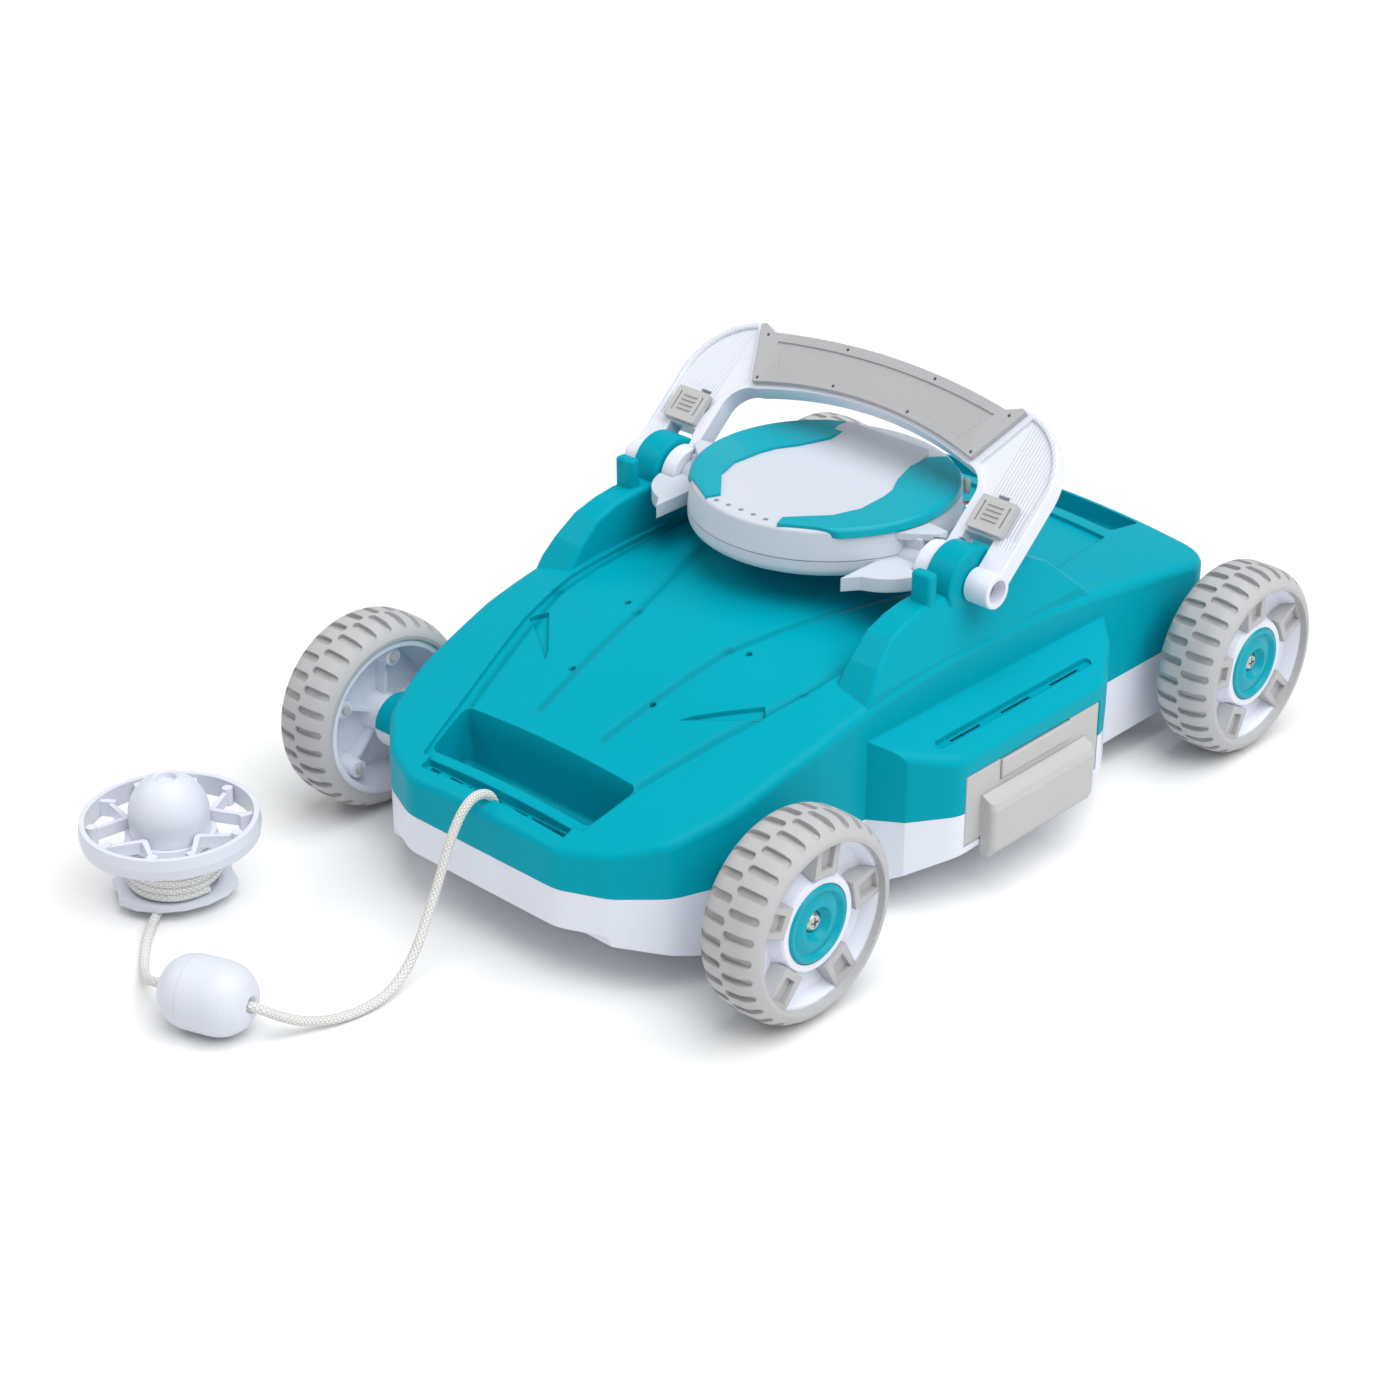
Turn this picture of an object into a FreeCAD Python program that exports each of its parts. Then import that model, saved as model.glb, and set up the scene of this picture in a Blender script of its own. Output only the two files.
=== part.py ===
import FreeCAD, Part
import math
import os
import re

import Sketcher

# Cordless pool cleaner: a boat-shaped body on four wheels, a carrying handle and a round
# sealed pod that both tilt on one pair of pivot pins, two side filter drawers, and a
# rope with an egg float and a winder float that lie in front of the nose.
# Frame: +Z up, +Y towards the tail, +X to the object's right, origin on the ground
# under the middle of the body. Millimetres.

V = FreeCAD.Vector
os.makedirs("parts", exist_ok=True)
doc = FreeCAD.newDocument("pool_cleaner")
sheet = doc.addObject("Spreadsheet::Sheet", "Sizes")

SIZES = [
    # overall
    ("overall_length", 448.4, "nose to the back of the rear tyres"),
    ("wheelbase", 339.6, "axle to axle"),
    ("wheel_track", 282.7, "between the wheels' middle planes"),
    ("wheel_radius", 50, "over the tread"),
    ("wheel_width", 34.4, "over the tyre"),
    ("seam_height", 50, "where the top cover meets the lower shell"),
    ("body_half_width", 110, "middle to the side wall"),
    ("box_half_width", 141, "middle to the drawer front"),
    ("wall", 3, "moulded wall"),
    ("gap", 0.3, "standing clearance between separate pieces"),
    ("run_gap", 0.05, "radial clearance of a pin or shaft in its bore"),
    # plan of the body
    ("nose_flat", 49, "half width of the straight nose"),
    ("tail_inset", 28, "tail wall in front of the rear tyres' back"),
    ("tail_round", 20, "rear corners"),
    ("nose_round", 24, "nose corners"),
    # crown of the cover
    ("crown_nose", 71.5, "height over the nose edge"),
    ("crown_top", 121.5, "height over the middle"),
    ("crown_tail", 98, "height over the tail edge"),
    ("crown_fall", 9.5, "fall from the middle to the shoulder"),
    ("shoulder_round", 5, "cover's upper edge"),
    ("panel_step", 2.2, "sunk middle panel of the hood"),
    # grab recesses and slots in the cover
    ("grab_half", 54, "half width of the front grab recess"),
    ("grab_depth", 24, "front grab recess below the nose edge"),
    ("tail_grab_half", 66, "half width of the rear grab recess"),
    ("tail_grab_floor", 86, "height of the rear recess's floor"),
    ("slot_half", 47.5, "half length of the nose slot"),
    ("slot_width", 6.5, "nose slot"),
    ("slot_depth", 4.5, "nose slot"),
    # side boxes and drawers
    ("box_top_inner", 91, "box roof at the side wall"),
    ("box_top_outer", 79.5, "box roof at the outer face"),
    ("drawer_front_y", -46, "front end of the drawer face"),
    ("drawer_back_y", 57.5, "rear end of the drawer face"),
    ("drawer_top", 69.5, "top of the drawer face"),
    ("drawer_bottom", 31.2, "bottom of the drawer face"),
    ("drawer_inner_x", 44, "inner end of the filter bin"),
    ("drawer_plate", 3.2, "drawer face"),
    # pivot
    ("pivot_y", 0.35, "pivot axis"),
    ("pivot_z", 141, "pivot axis"),
    ("pin_radius", 5.95, "pivot pins"),
    ("barrel_radius", 17.5, "fixed barrels on the humps"),
    ("barrel_inner_x", 87.6, "inner end of a barrel"),
    ("barrel_outer_x", 103.8, "outer end of a barrel"),
    ("hump_top", 139.5, "flat top of the humps"),
    # handle
    ("handle_tilt", 41.5, "handle above the horizontal, at rest"),
    ("handle_half", 118.5, "half width over the arms"),
    ("handle_reach", 89.5, "axis to the corner of the handle"),
    ("handle_thick", 10, "frame"),
    ("grip_thick", 3, "grip insert"),
    ("eyelet_radius", 14.5, "inner eyelets"),
    ("tube_radius", 8.6, "outer bushes"),
    # pod
    ("pod_y", 13.3, "middle of the pod"),
    ("pod_radius", 68, "pod"),
    ("pod_floor", 137, "underside"),
    ("pod_seam", 146, "where its two shells meet"),
    ("pod_top", 161.5, "rim"),
    ("pod_wall", 2.5, "pod shells"),
    ("trim_thick", 1.4, "coloured trims on the pod"),
    # wheels
    ("axle_radius", 4, "steel axles"),
    ("tyre_seat", 40.5, "radius where the tyre sits on the rim"),
    ("tyre_lip", 42.6, "outer shoulder of the tyre"),
    ("cap_radius", 19.2, "hub cap"),
    ("spokes", 5, "per wheel"),
    ("treads", 30, "grooves in each of two rows"),
    # rope, float and winder
    ("rope_diameter", 4.6, "braided rope"),
    ("egg_length", 43.5, "egg float"),
    ("egg_radius", 17.5, "egg float"),
    ("ring_radius", 43, "winder float's ring"),
    ("dome_radius", 19.2, "winder float's dome"),
    ("winder_x", -139, "winder float"),
    ("winder_y", -295, "winder float"),
]
ALIASES = [name for name, number, note in SIZES]
for row, (name, number, note) in enumerate(SIZES, start=1):
    sheet.set("A%d" % row, name)
    sheet.set("B%d" % row, str(number))
    sheet.set("C%d" % row, note)
    sheet.setAlias("B%d" % row, name)
doc.recompute()


# ---------------------------------------------------------------- helpers
def val(text):
    """The number that an expression on the sheet's names gives."""
    return float(sheet.evalExpression(str(text)))


def link(text):
    """The same expression, written so that an object outside the sheet can hold it."""
    return re.sub(r"[a-z]\w*", lambda m: "Sizes." + m[0] if m[0] in ALIASES else m[0], str(text))


def bind(thing, prop, text):
    thing.setExpression(prop, link(text))


def place(thing, at, axis=None, angle="0"):
    """Puts a thing at three expressions, turned about one axis."""
    turn = FreeCAD.Rotation(V(*axis), val(angle)) if axis else FreeCAD.Rotation()
    thing.Placement = FreeCAD.Placement(V(*[val(c) for c in at]), turn)
    for letter, text in zip("xyz", at):
        bind(thing, "Placement.Base." + letter, text)


def body(name, at=("0", "0", "0"), axis=None, angle="0"):
    part = doc.addObject("PartDesign::Body", name)
    place(part, at, axis, angle)
    return part


def arc_edge(start, end, radius):
    """An arc from start to end; a positive radius bulges to the right of the way."""
    chord = end - start
    half = chord.Length / 2
    side = V(-chord.y, chord.x, 0).normalize() * (1 if radius > 0 else -1)
    centre = (start + end) / 2 + side * math.sqrt(max(radius * radius - half * half, 0))
    first, last = (start, end) if radius > 0 else (end, start)
    angles = [math.atan2(p.y - centre.y, p.x - centre.x) for p in (first, last)]
    circle = Part.Circle(centre, V(0, 0, 1), abs(radius))
    return Part.ArcOfCircle(circle, angles[0], angles[1]), (1, 2) if radius > 0 else (2, 1)


def sketch(part, role, loops, level="0"):
    """A sketch on one of the body's origin planes. A loop is a circle, written
    ("circle", x, y, radius), or a list of corners; a corner with a third value starts an
    arc of that radius."""
    plane = [f for f in part.Origin.OriginFeatures if f.Role == role][0]
    sk = part.newObject("Sketcher::SketchObject", part.Name + "_sketch")
    sk.AttachmentSupport = [(plane, "")]
    sk.MapMode = "FlatFace"
    sk.AttachmentOffset = FreeCAD.Placement(V(0, 0, val(level)), FreeCAD.Rotation())
    bind(sk, "AttachmentOffset.Base.z", level)

    def fix(kind, index, end, text):
        number = sk.addConstraint(Sketcher.Constraint(kind, -1, 1, index, end, val(text)))
        bind(sk, "Constraints[%d]" % number, text)

    for loop in loops:
        if loop[0] == "circle":
            x, y, radius = loop[1:]
            circle = Part.Circle(V(val(x), val(y), 0), V(0, 0, 1), val(radius))
            index = sk.addGeometry(circle, False)
            number = sk.addConstraint(Sketcher.Constraint("Radius", index, val(radius)))
            bind(sk, "Constraints[%d]" % number, radius)
            fix("DistanceX", index, 3, x)
            fix("DistanceY", index, 3, y)
            continue
        ends = []
        for here, there in zip(loop, loop[1:] + loop[:1]):
            start = V(val(here[0]), val(here[1]), 0)
            end = V(val(there[0]), val(there[1]), 0)
            if len(here) == 3:
                edge, order = arc_edge(start, end, val(here[2]))
            else:
                edge, order = Part.LineSegment(start, end), (1, 2)
            ends.append((sk.addGeometry(edge, False), order, here))
        for (index, order, here), (after, after_order, _) in zip(ends, ends[1:] + ends[:1]):
            sk.addConstraint(Sketcher.Constraint("Coincident", index, order[1], after, after_order[0]))
            fix("DistanceX", index, order[0], here[0])
            fix("DistanceY", index, order[0], here[1])
            if len(here) == 3:
                radius = "abs(%s)" % here[2]
                number = sk.addConstraint(Sketcher.Constraint("Radius", index, val(radius)))
                bind(sk, "Constraints[%d]" % number, radius)
    return sk


def pad(part, sk, length, both=False, back=False):
    feature = part.newObject("PartDesign::Pad", part.Name + "_pad")
    feature.Profile = sk
    feature.SideType = "Symmetric" if both else "One side"
    feature.Reversed = back
    bind(feature, "Length", length)
    return feature


def pocket(part, sk, length, both=False, back=False):
    """A pocket that has to take something away."""
    doc.recompute()
    before = part.Shape.Volume
    feature = part.newObject("PartDesign::Pocket", part.Name + "_pocket")
    feature.Profile = sk
    feature.SideType = "Symmetric" if both else "One side"
    feature.Reversed = back
    bind(feature, "Length", length)
    doc.recompute()
    if part.Shape.Volume > before - 0.01:
        raise RuntimeError(part.Name + ": a pocket cuts nothing")
    return feature


def revolve(part, sk, axis="V_Axis"):
    feature = part.newObject("PartDesign::Revolution", part.Name + "_revolution")
    feature.Profile = sk
    feature.ReferenceAxis = (sk, [axis])
    feature.Angle = 360
    return feature


def around(part, features, count):
    """Repeats features round the body's upright axis."""
    pattern = part.newObject("PartDesign::PolarPattern", part.Name + "_pattern")
    pattern.Originals = features
    z_axis = [f for f in part.Origin.OriginFeatures if f.Role == "Z_Axis"][0]
    pattern.Axis = (z_axis, [""])
    pattern.Angle = 360
    pattern.Occurrences = int(val(count))
    part.Tip = pattern
    return pattern


def edges_near(shape, test):
    """Numbers of the edges whose middle passes a test."""
    found = []
    for number, edge in enumerate(shape.Edges, start=1):
        middle = edge.valueAt((edge.FirstParameter + edge.LastParameter) / 2)
        if test(edge, middle):
            found.append(number)
    return found


def round_edges(part, radius, test):
    """A PartDesign fillet on the edges that pass a test."""
    doc.recompute()
    tip = part.Tip
    numbers = edges_near(tip.Shape, test)
    feature = part.newObject("PartDesign::Fillet", part.Name + "_fillet")
    feature.Base = (tip, ["Edge%d" % n for n in numbers])
    bind(feature, "Radius", radius)
    doc.recompute()
    return feature


def upright(edge, middle):
    return abs(edge.tangentAt(edge.FirstParameter).z) > 0.999


def box(name, low, high):
    """A block between two corners, each given as three expressions."""
    thing = doc.addObject("Part::Box", name)
    place(thing, low)
    for prop, a, b in zip(("Length", "Width", "Height"), low, high):
        bind(thing, prop, "(%s) - (%s)" % (b, a))
    return thing


AXES = {"x": ((0, 1, 0), "90"), "y": ((1, 0, 0), "-90"), "z": (None, "0")}


def cylinder(name, at, radius, length, axis="z"):
    thing = doc.addObject("Part::Cylinder", name)
    place(thing, at, *AXES[axis])
    bind(thing, "Radius", radius)
    bind(thing, "Height", length)
    return thing


def cut(name, base, *tools):
    thing = doc.addObject("Part::Cut", name)
    thing.Base = base
    thing.Tool = tools[0] if len(tools) == 1 else fuse(name + "_tools", *tools)
    return thing


def fuse(name, *parts):
    thing = doc.addObject("Part::MultiFuse", name)
    thing.Shapes = list(parts)
    return thing


def common(name, *parts):
    thing = doc.addObject("Part::MultiCommon", name)
    thing.Shapes = list(parts)
    return thing


def mirrored(name, thing):
    """The same piece on the other side of the middle plane."""
    copy = doc.addObject("Part::Mirroring", name)
    copy.Source = thing
    copy.Normal = V(1, 0, 0)
    return copy


def round_block(name, thing, radius, test):
    """Part::Fillet on the edges of a built object that pass a test."""
    doc.recompute()
    feature = doc.addObject("Part::Fillet", name)
    feature.Base = thing
    feature.Edges = [(n, val(radius), val(radius)) for n in edges_near(thing.Shape, test)]
    doc.recompute()
    return feature


NODES = []


def node(name, thing):
    """Marks a finished sub-part, whose label names its file."""
    thing.Label = name
    NODES.append(thing)
    return thing


REAR_AXLE = "overall_length / 2 - wheel_radius"
FRONT_AXLE = "overall_length / 2 - wheel_radius - wheelbase"
NOSE = "-overall_length / 2"
TAIL = "overall_length / 2 - tail_inset"


# ---------------------------------------------------------------- body shells
def hull_plan(inset):
    """Outline of the body seen from above, drawn inwards by an inset."""
    side = [
        ("nose_flat", NOSE),
        ("nose_flat + 24", NOSE + " + 10.5"),
        ("nose_flat + 44", NOSE + " + 29.5"),
        ("body_half_width - 5.5", NOSE + " + 59"),
        ("body_half_width", NOSE + " + 110"),
        ("body_half_width + 2", TAIL),
    ]
    corners = [("%s - %s" % (x, inset), "%s + %s" % (y, inset)) for x, y in side[:-1]]
    corners.append(("%s - %s" % (side[-1][0], inset), "%s - %s" % (side[-1][1], inset)))
    return corners + [("-(%s)" % x, y) for x, y in reversed(corners)]


def hull_prism(name, inset, low, high):
    part = body(name)
    pad(part, sketch(part, "XY_Plane", [hull_plan(inset)], low), "(%s) - (%s)" % (high, low))
    tail = val(TAIL)
    nose = val(NOSE)
    flat = val("nose_flat")
    round_edges(part, "tail_round - %s" % inset, lambda e, m: upright(e, m) and m.y > tail - 15)
    round_edges(
        part,
        "nose_round",
        lambda e, m: upright(e, m) and (m.y < nose + 42 or abs(abs(m.x) - flat) < 4),
    )
    round_edges(part, "70", lambda e, m: upright(e, m) and nose + 50 < m.y < nose + 75)
    return part


def crown_height(x, y):
    """Height of the cover's crowned top over a point."""
    nose, tail, top = val(NOSE), val(TAIL), val("crown_top")
    low, back = val("crown_nose"), val("crown_tail")
    rise = top - low
    stations = [
        (nose - 14, low - 5),
        (nose, low),
        (nose + 18.6, low + 0.17 * rise),
        (nose + 48, low + 0.40 * rise),
        (nose + 86.6, low + 0.655 * rise),
        (nose + 138, low + 0.905 * rise),
        (val("pivot_y") - 36, top),
        (val("pivot_y") + 20, top),
        (tail - 109, top - 0.25 * (top - back)),
        (tail - 49, top - 0.64 * (top - back)),
        (tail, back),
        (tail + 20, back - 5),
    ]
    curve = Part.BSplineCurve()
    curve.interpolate([V(0, a, b) for a, b in stations])
    plane = Part.Plane(V(0, y, 0), V(0, 1, 0))
    crossing = curve.intersect(plane)[0][0]
    return crossing.Z - val("crown_fall") * (x / val("body_half_width")) ** 2


def crown_block(name, drop):
    """Everything under the crowned surface, lowered by a drop: one smooth patch through
    a grid of heights, which no sketch can give."""
    reach = val("box_half_width") + 10
    across = [reach * share for share in (-1, -0.5, 0, 0.5, 1)]
    nose, tail = val(NOSE) - 12, val(TAIL) + 15
    along = [nose + (tail - nose) * i / 16 for i in range(17)]
    surface = Part.BSplineSurface()
    surface.interpolate([[V(x, y, crown_height(x, y) - drop) for x in across] for y in along])
    thing = doc.addObject("Part::Feature", name)
    thing.Shape = surface.toShape().extrude(V(0, 0, -150))
    return thing


BOX_PLAN = [
    ("body_half_width - 10", "drawer_front_y - 42"),
    ("body_half_width + 2", "drawer_front_y - 35"),
    ("body_half_width + 16", "drawer_front_y - 26"),
    ("box_half_width", "drawer_front_y - 4"),
    ("box_half_width", "drawer_back_y + 4"),
    ("body_half_width + 16", "drawer_back_y + 27"),
    ("body_half_width + 2", "drawer_back_y + 40"),
    ("body_half_width - 10", "drawer_back_y + 46"),
]


def box_prism(name, inset, low, high):
    """Plan of the right side box, padded up between two heights."""
    part = body(name)
    outline = [("%s - %s" % (x, inset), y) for x, y in BOX_PLAN]
    pad(part, sketch(part, "XY_Plane", [outline], low), "(%s) - (%s)" % (high, low))
    face = val("box_half_width - %s" % inset)
    round_edges(part, "16", lambda e, m: upright(e, m) and abs(m.x - face) < 0.1)
    return part


def box_section(name, inset):
    """Section of the side box across the body: a sloping roof."""
    part = body(name)
    outline = [
        ("0", "0"),
        ("box_half_width + 5", "0"),
        ("box_half_width + 5", "box_top_outer - 1.9 - %s" % inset),
        ("body_half_width + 1", "box_top_inner - %s" % inset),
        ("0", "box_top_inner + 40 - %s" % inset),
    ]
    pad(part, sketch(part, "XZ_Plane", [outline]), "overall_length", both=True)
    return part


def side_box(name):
    """The cover's half of the right side box."""
    block = common(name + "_block", box_prism(name + "_plan", "0", "seam_height", "box_top_inner + 20"),
                   box_section(name + "_section", "0"))
    roof = val("box_top_outer") - 2.5
    bend = val("body_half_width") + 18
    return round_block(name + "_round", block, "6",
                       lambda e, m: m.z > roof and m.x > bend and not upright(e, m))


def hump(name):
    """The right hump that carries a pivot barrel: a side outline cut by a section."""
    side = body(name + "_side")
    profile = [
        ("pivot_y - 84", "crown_top - 40"),
        ("pivot_y - 82.5", "crown_top - 14"),
        ("pivot_y - 71", "crown_top + 1"),
        ("pivot_y - 59", "crown_top + 11.5"),
        ("pivot_y - 46", "hump_top - 2"),
        ("pivot_y - 34", "hump_top"),
        ("pivot_y + 32", "hump_top"),
        ("pivot_y + 46", "hump_top - 1.5"),
        ("pivot_y + 60", "hump_top - 8.5"),
        ("pivot_y + 90", "crown_top - 16"),
        ("pivot_y + 92", "crown_top - 40"),
    ]
    pad(side, sketch(side, "YZ_Plane", [profile]), "400", both=True)
    section = body(name + "_section")
    outline = [
        ("barrel_inner_x - 0.4", "crown_top - 40"),
        ("body_half_width - 0.8", "crown_top - 40"),
        ("body_half_width - 0.8", "crown_top - 9"),
        ("barrel_outer_x - 2", "hump_top"),
        ("barrel_outer_x - 2", "hump_top + 5"),
        ("barrel_inner_x - 0.4", "hump_top + 5"),
    ]
    pad(section, sketch(section, "XZ_Plane", [outline]), "400", both=True)
    block = common(name + "_block", side, section)
    low = val("crown_top") - 16
    return round_block(
        name + "_round", block, "2.5",
        lambda e, m: m.z > low and abs(e.tangentAt(e.FirstParameter).x) < 0.6,
    )


def barrel(name):
    """Fixed pivot barrel with the stop tab in front of it."""
    drum = cylinder(name + "_drum", ("barrel_inner_x", "pivot_y", "pivot_z"), "barrel_radius",
                    "barrel_outer_x - barrel_inner_x", "x")
    drum = round_block(name + "_drum_round", drum, "1.5", lambda e, m: e.Length > 50)
    tab = box(name + "_tab", ("barrel_inner_x + 3", "pivot_y - 31", "hump_top - 6"),
              ("barrel_outer_x - 1.5", "pivot_y - 24.5", "pivot_z + 13.6"))
    top = val("pivot_z") + 13
    tab = round_block(name + "_tab_round", tab, "2", lambda e, m: m.z > top or upright(e, m))
    return fuse(name, drum, tab)


def both_sides(name, thing):
    return [thing, mirrored(name + "_mirror", thing)]


def axle_boss(name, y, radius, inner, outer):
    return cylinder(name, (inner, y, "wheel_radius"), radius, "(%s) - (%s)" % (outer, inner), "x")


hull = common("hull", hull_prism("hull_plan", "0", "seam_height", "crown_top + 20"),
              crown_block("crown", 0))
rim_low = val("seam_height") + 4
hull = round_block("hull_round", hull, "shoulder_round",
                   lambda e, m: m.z > rim_low and not upright(e, m))

panel = body("hood_panel")
panel_side = [
    ("slot_half + 5", NOSE + " + 14"),
    ("slot_half + 13", NOSE + " + 48"),
    ("slot_half + 29.5", NOSE + " + 104"),
    ("barrel_inner_x - 4", "pivot_y - 82"),
    ("barrel_inner_x - 4", "pivot_y + 95"),
    ("tail_grab_half + 4", TAIL + " - 42"),
]
pad(panel, sketch(panel, "XY_Plane", [panel_side + [("-(%s)" % x, y) for x, y in reversed(panel_side)]],
                  "seam_height"), "120")
panel_cut = cut("panel_cut", panel, crown_block("crown_low", val("panel_step")))

grab = body("grab_recess")
grab_side = [("grab_half - 2", NOSE + " + 18.6"), ("grab_half + 3", NOSE + " + 46")]
pad(grab, sketch(grab, "XY_Plane", [grab_side + [("-(%s)" % x, y) for x, y in reversed(grab_side)]],
                 "crown_nose - grab_depth + 8"), "60")
round_edges(grab, "4", upright)
floor_level = val("crown_nose - grab_depth + 8")
round_edges(grab, "3", lambda e, m: abs(m.z - floor_level) < 0.1)

tail_grab = box("tail_grab", ("-tail_grab_half", TAIL + " - 32", "tail_grab_floor"),
                ("tail_grab_half", TAIL + " - 6", "crown_top"))
floor_tail = val("tail_grab_floor")
tail_grab = round_block("tail_grab_round", tail_grab, "3",
                        lambda e, m: upright(e, m) or abs(m.z - floor_tail) < 0.1)

side_boxes = both_sides("side_box", side_box("side_box"))
humps = both_sides("hump", hump("hump"))
barrels = both_sides("barrel", barrel("barrel"))
axle_lips = []
for end, y in (("front", FRONT_AXLE), ("rear", REAR_AXLE)):
    lip = axle_boss("lip_" + end, y, "axle_radius + 10", "body_half_width - 6", "wheel_track / 2 - wheel_width / 2 - 1")
    axle_lips += both_sides("lip_" + end, lip)
skin = fuse("cover_skin", cut("hood", hull, panel_cut, grab, tail_grab), *side_boxes, *humps, *barrels, *axle_lips)

# the hollow inside: the hull and boxes again, drawn in by the wall, less what stands in it
hollow_hull = common("hollow_hull", hull_prism("hollow_plan", "wall", "seam_height - 30", "crown_top + 20"),
                     crown_block("crown_inside", val("wall + panel_step")))
hollow_box = common("hollow_box", box_prism("hollow_box_plan", "wall", "seam_height - 30", "box_top_inner + 20"),
                    box_section("hollow_box_section", "wall"))
grab_wall = box("grab_wall", ("-grab_half - 6", NOSE, "crown_nose - grab_depth + 5"),
                ("grab_half + 6", NOSE + " + 50", "crown_top"))
tail_wall = box("tail_wall", ("-tail_grab_half - 3", TAIL + " - 35", "tail_grab_floor - 3"),
                ("tail_grab_half + 3", TAIL, "crown_top"))
hollow = cut("hollow", fuse("hollow_all", hollow_hull, *both_sides("hollow_box", hollow_box)), grab_wall, tail_wall)
below = box("below_seam", ("-200", "-300", "0"), ("200", "300", "seam_height"))


def slot_block(name, low, high, width):
    """An upright block whose ends are rounded to its width."""
    return round_block(name + "_round", box(name, low, high), "(%s) / 2 - 0.02" % width, upright)


# nose slot with its row of drain holes and the rope hole in the middle
nose_slot = box("nose_slot", ("-slot_half", NOSE + " + 7.5", "crown_nose - 0.6"),
                ("slot_half", NOSE + " + 7.5 + slot_width", "crown_top"))
nose_holes = []
for number, (x, length) in enumerate((("-42", "6"), ("-28", "8"), ("-19", "1.6"), ("-15", "1.6"),
                                      ("-11", "1.6"), ("15", "8"), ("33", "22"))):
    nose_holes.append(box("nose_hole_%d" % number, ("(%s) - (%s) / 2" % (x, length), NOSE + " + 8.5", "crown_nose - 12"),
                          ("(%s) + (%s) / 2" % (x, length), NOSE + " + 6.5 + slot_width", "crown_top")))
ROPE_HOLE_Y = NOSE + " + 7.5 + slot_width / 2"
rope_hole = cylinder("rope_hole", ("0", ROPE_HOLE_Y, "seam_height - 10"), "rope_diameter / 2 + gap", "60")
nose_pad = box("nose_pad", ("-slot_half - 3", NOSE + " + wall", "crown_nose - 6.5"),
               ("slot_half + 3", NOSE + " + 20", "crown_nose - 0.6"))

# screw holes, pockets and roof slots
pocket_cuts = []
for number, (x, y) in enumerate((("26.4", NOSE + " + 87"), ("39.7", NOSE + " + 138.5"))):
    pocket_cuts.append(cylinder("hood_hole_%d" % number, (x, y, "seam_height + 5"), "1.6", "80"))
vent = body("hood_vent")
vent_outline = [
    ("44", NOSE + " + 86"), ("69", NOSE + " + 103"), ("77", NOSE + " + 107.5"),
    ("76.3", NOSE + " + 109.5"), ("71", NOSE + " + 115"), ("48", NOSE + " + 92"),
]
pad(vent, sketch(vent, "XY_Plane", [vent_outline], "crown_nose"), "60")
vent_floor = cut("vent_floor", vent, crown_block("crown_vent", val("wall + panel_step") - 0.8))
pocket_cuts.append(vent_floor)
SLOT_Y = "(drawer_front_y + drawer_back_y) / 2"
SLOT_X = "body_half_width + 18"
pocket_cuts.append(slot_block("roof_slot", (SLOT_X + " - 2.3", SLOT_Y + " - 59", "box_top_inner - 8.2"),
                              (SLOT_X + " + 2.3", SLOT_Y + " + 59", "box_top_inner + 5"), "4.6"))
for number, y in enumerate(("-38", "0", "38")):
    pocket_cuts.append(box("roof_dash_%d" % number,
                           (SLOT_X + " - 0.8", SLOT_Y + " + %s - 11" % y, "seam_height + 20"),
                           (SLOT_X + " + 0.8", SLOT_Y + " + %s + 11" % y, "box_top_inner")))
deck_slot = box("deck_slot", ("-9", "-2.5", "-30"), ("9", "2.5", "30"))
place(deck_slot, ("60", TAIL + " - 72", "crown_top"), (0, 0, 1), "-32")
pocket_cuts.append(cut("deck_slot_floor", deck_slot, crown_block("crown_deck", 2.2)))
mirror_cuts = [mirrored("cover_cut_%d" % n, c) for n, c in enumerate(pocket_cuts)]
TAIL_SCREW_Y = TAIL + " - 68.6"
screw_seat = cylinder("screw_seat", ("0", TAIL_SCREW_Y, "crown_tail + 8"), "5", "40")
screw_hole = cylinder("cover_screw_hole", ("0", TAIL_SCREW_Y, "seam_height"), "2", "70")

# pillars that the shell screws pull together, and the bays that the drawers slide in
PILLARS = [
    ("body_half_width - 25", NOSE + " + 84", "15.5", "crown_tail - 4"),
    ("body_half_width - 25", TAIL + " - 56", "11.5", "crown_tail + 1"),
]
pillars_above = []
pillars_below = []
screw_bores = []
for number, (x, y, low, high) in enumerate(PILLARS):
    top = cylinder("pillar_top_%d" % number, (x, y, "seam_height"), "5", "%s - seam_height" % high)
    foot = cylinder("pillar_foot_%d" % number, (x, y, low), "5", "seam_height - %s" % low)
    bore = cylinder("pillar_bore_%d" % number, (x, y, "0"), "1.75 + run_gap", "seam_height + 14")
    seat = cylinder("pillar_seat_%d" % number, (x, y, "0"), "3.6", "18")
    pillars_above += both_sides("pillar_top_%d" % number, top)
    pillars_below += both_sides("pillar_foot_%d" % number, foot)
    screw_bores += both_sides("pillar_bore_%d" % number, fuse("pillar_hole_%d" % number, bore, seat))
bay = box("drawer_bay", ("drawer_inner_x + 60", "drawer_front_y", "drawer_bottom"),
          ("box_half_width + 5", "drawer_back_y", "drawer_top"))
bays = both_sides("drawer_bay", bay)
BUSH_RADIUS = "axle_radius + 3"
axle_bores = [cylinder("axle_bore_" + end, ("-200", y, "wheel_radius"), BUSH_RADIUS, "400", "x")
              for end, y in (("front", FRONT_AXLE), ("rear", REAR_AXLE))]
PUMP_Y = "pivot_y + 100"
OUTLET_Z = "seam_height + 18"
outlet_hole = cylinder("outlet_hole", ("0", PUMP_Y, OUTLET_Z), "9 + gap", "200", "y")
pin_bores = cylinder("pin_bore", ("-200", "pivot_y", "pivot_z"), "pin_radius + run_gap", "400", "x")
shell_above = cut("shell_above", cut("skin_open", skin, below), hollow)
shell_above = fuse("shell_built", shell_above, nose_pad, *pillars_above)
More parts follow.
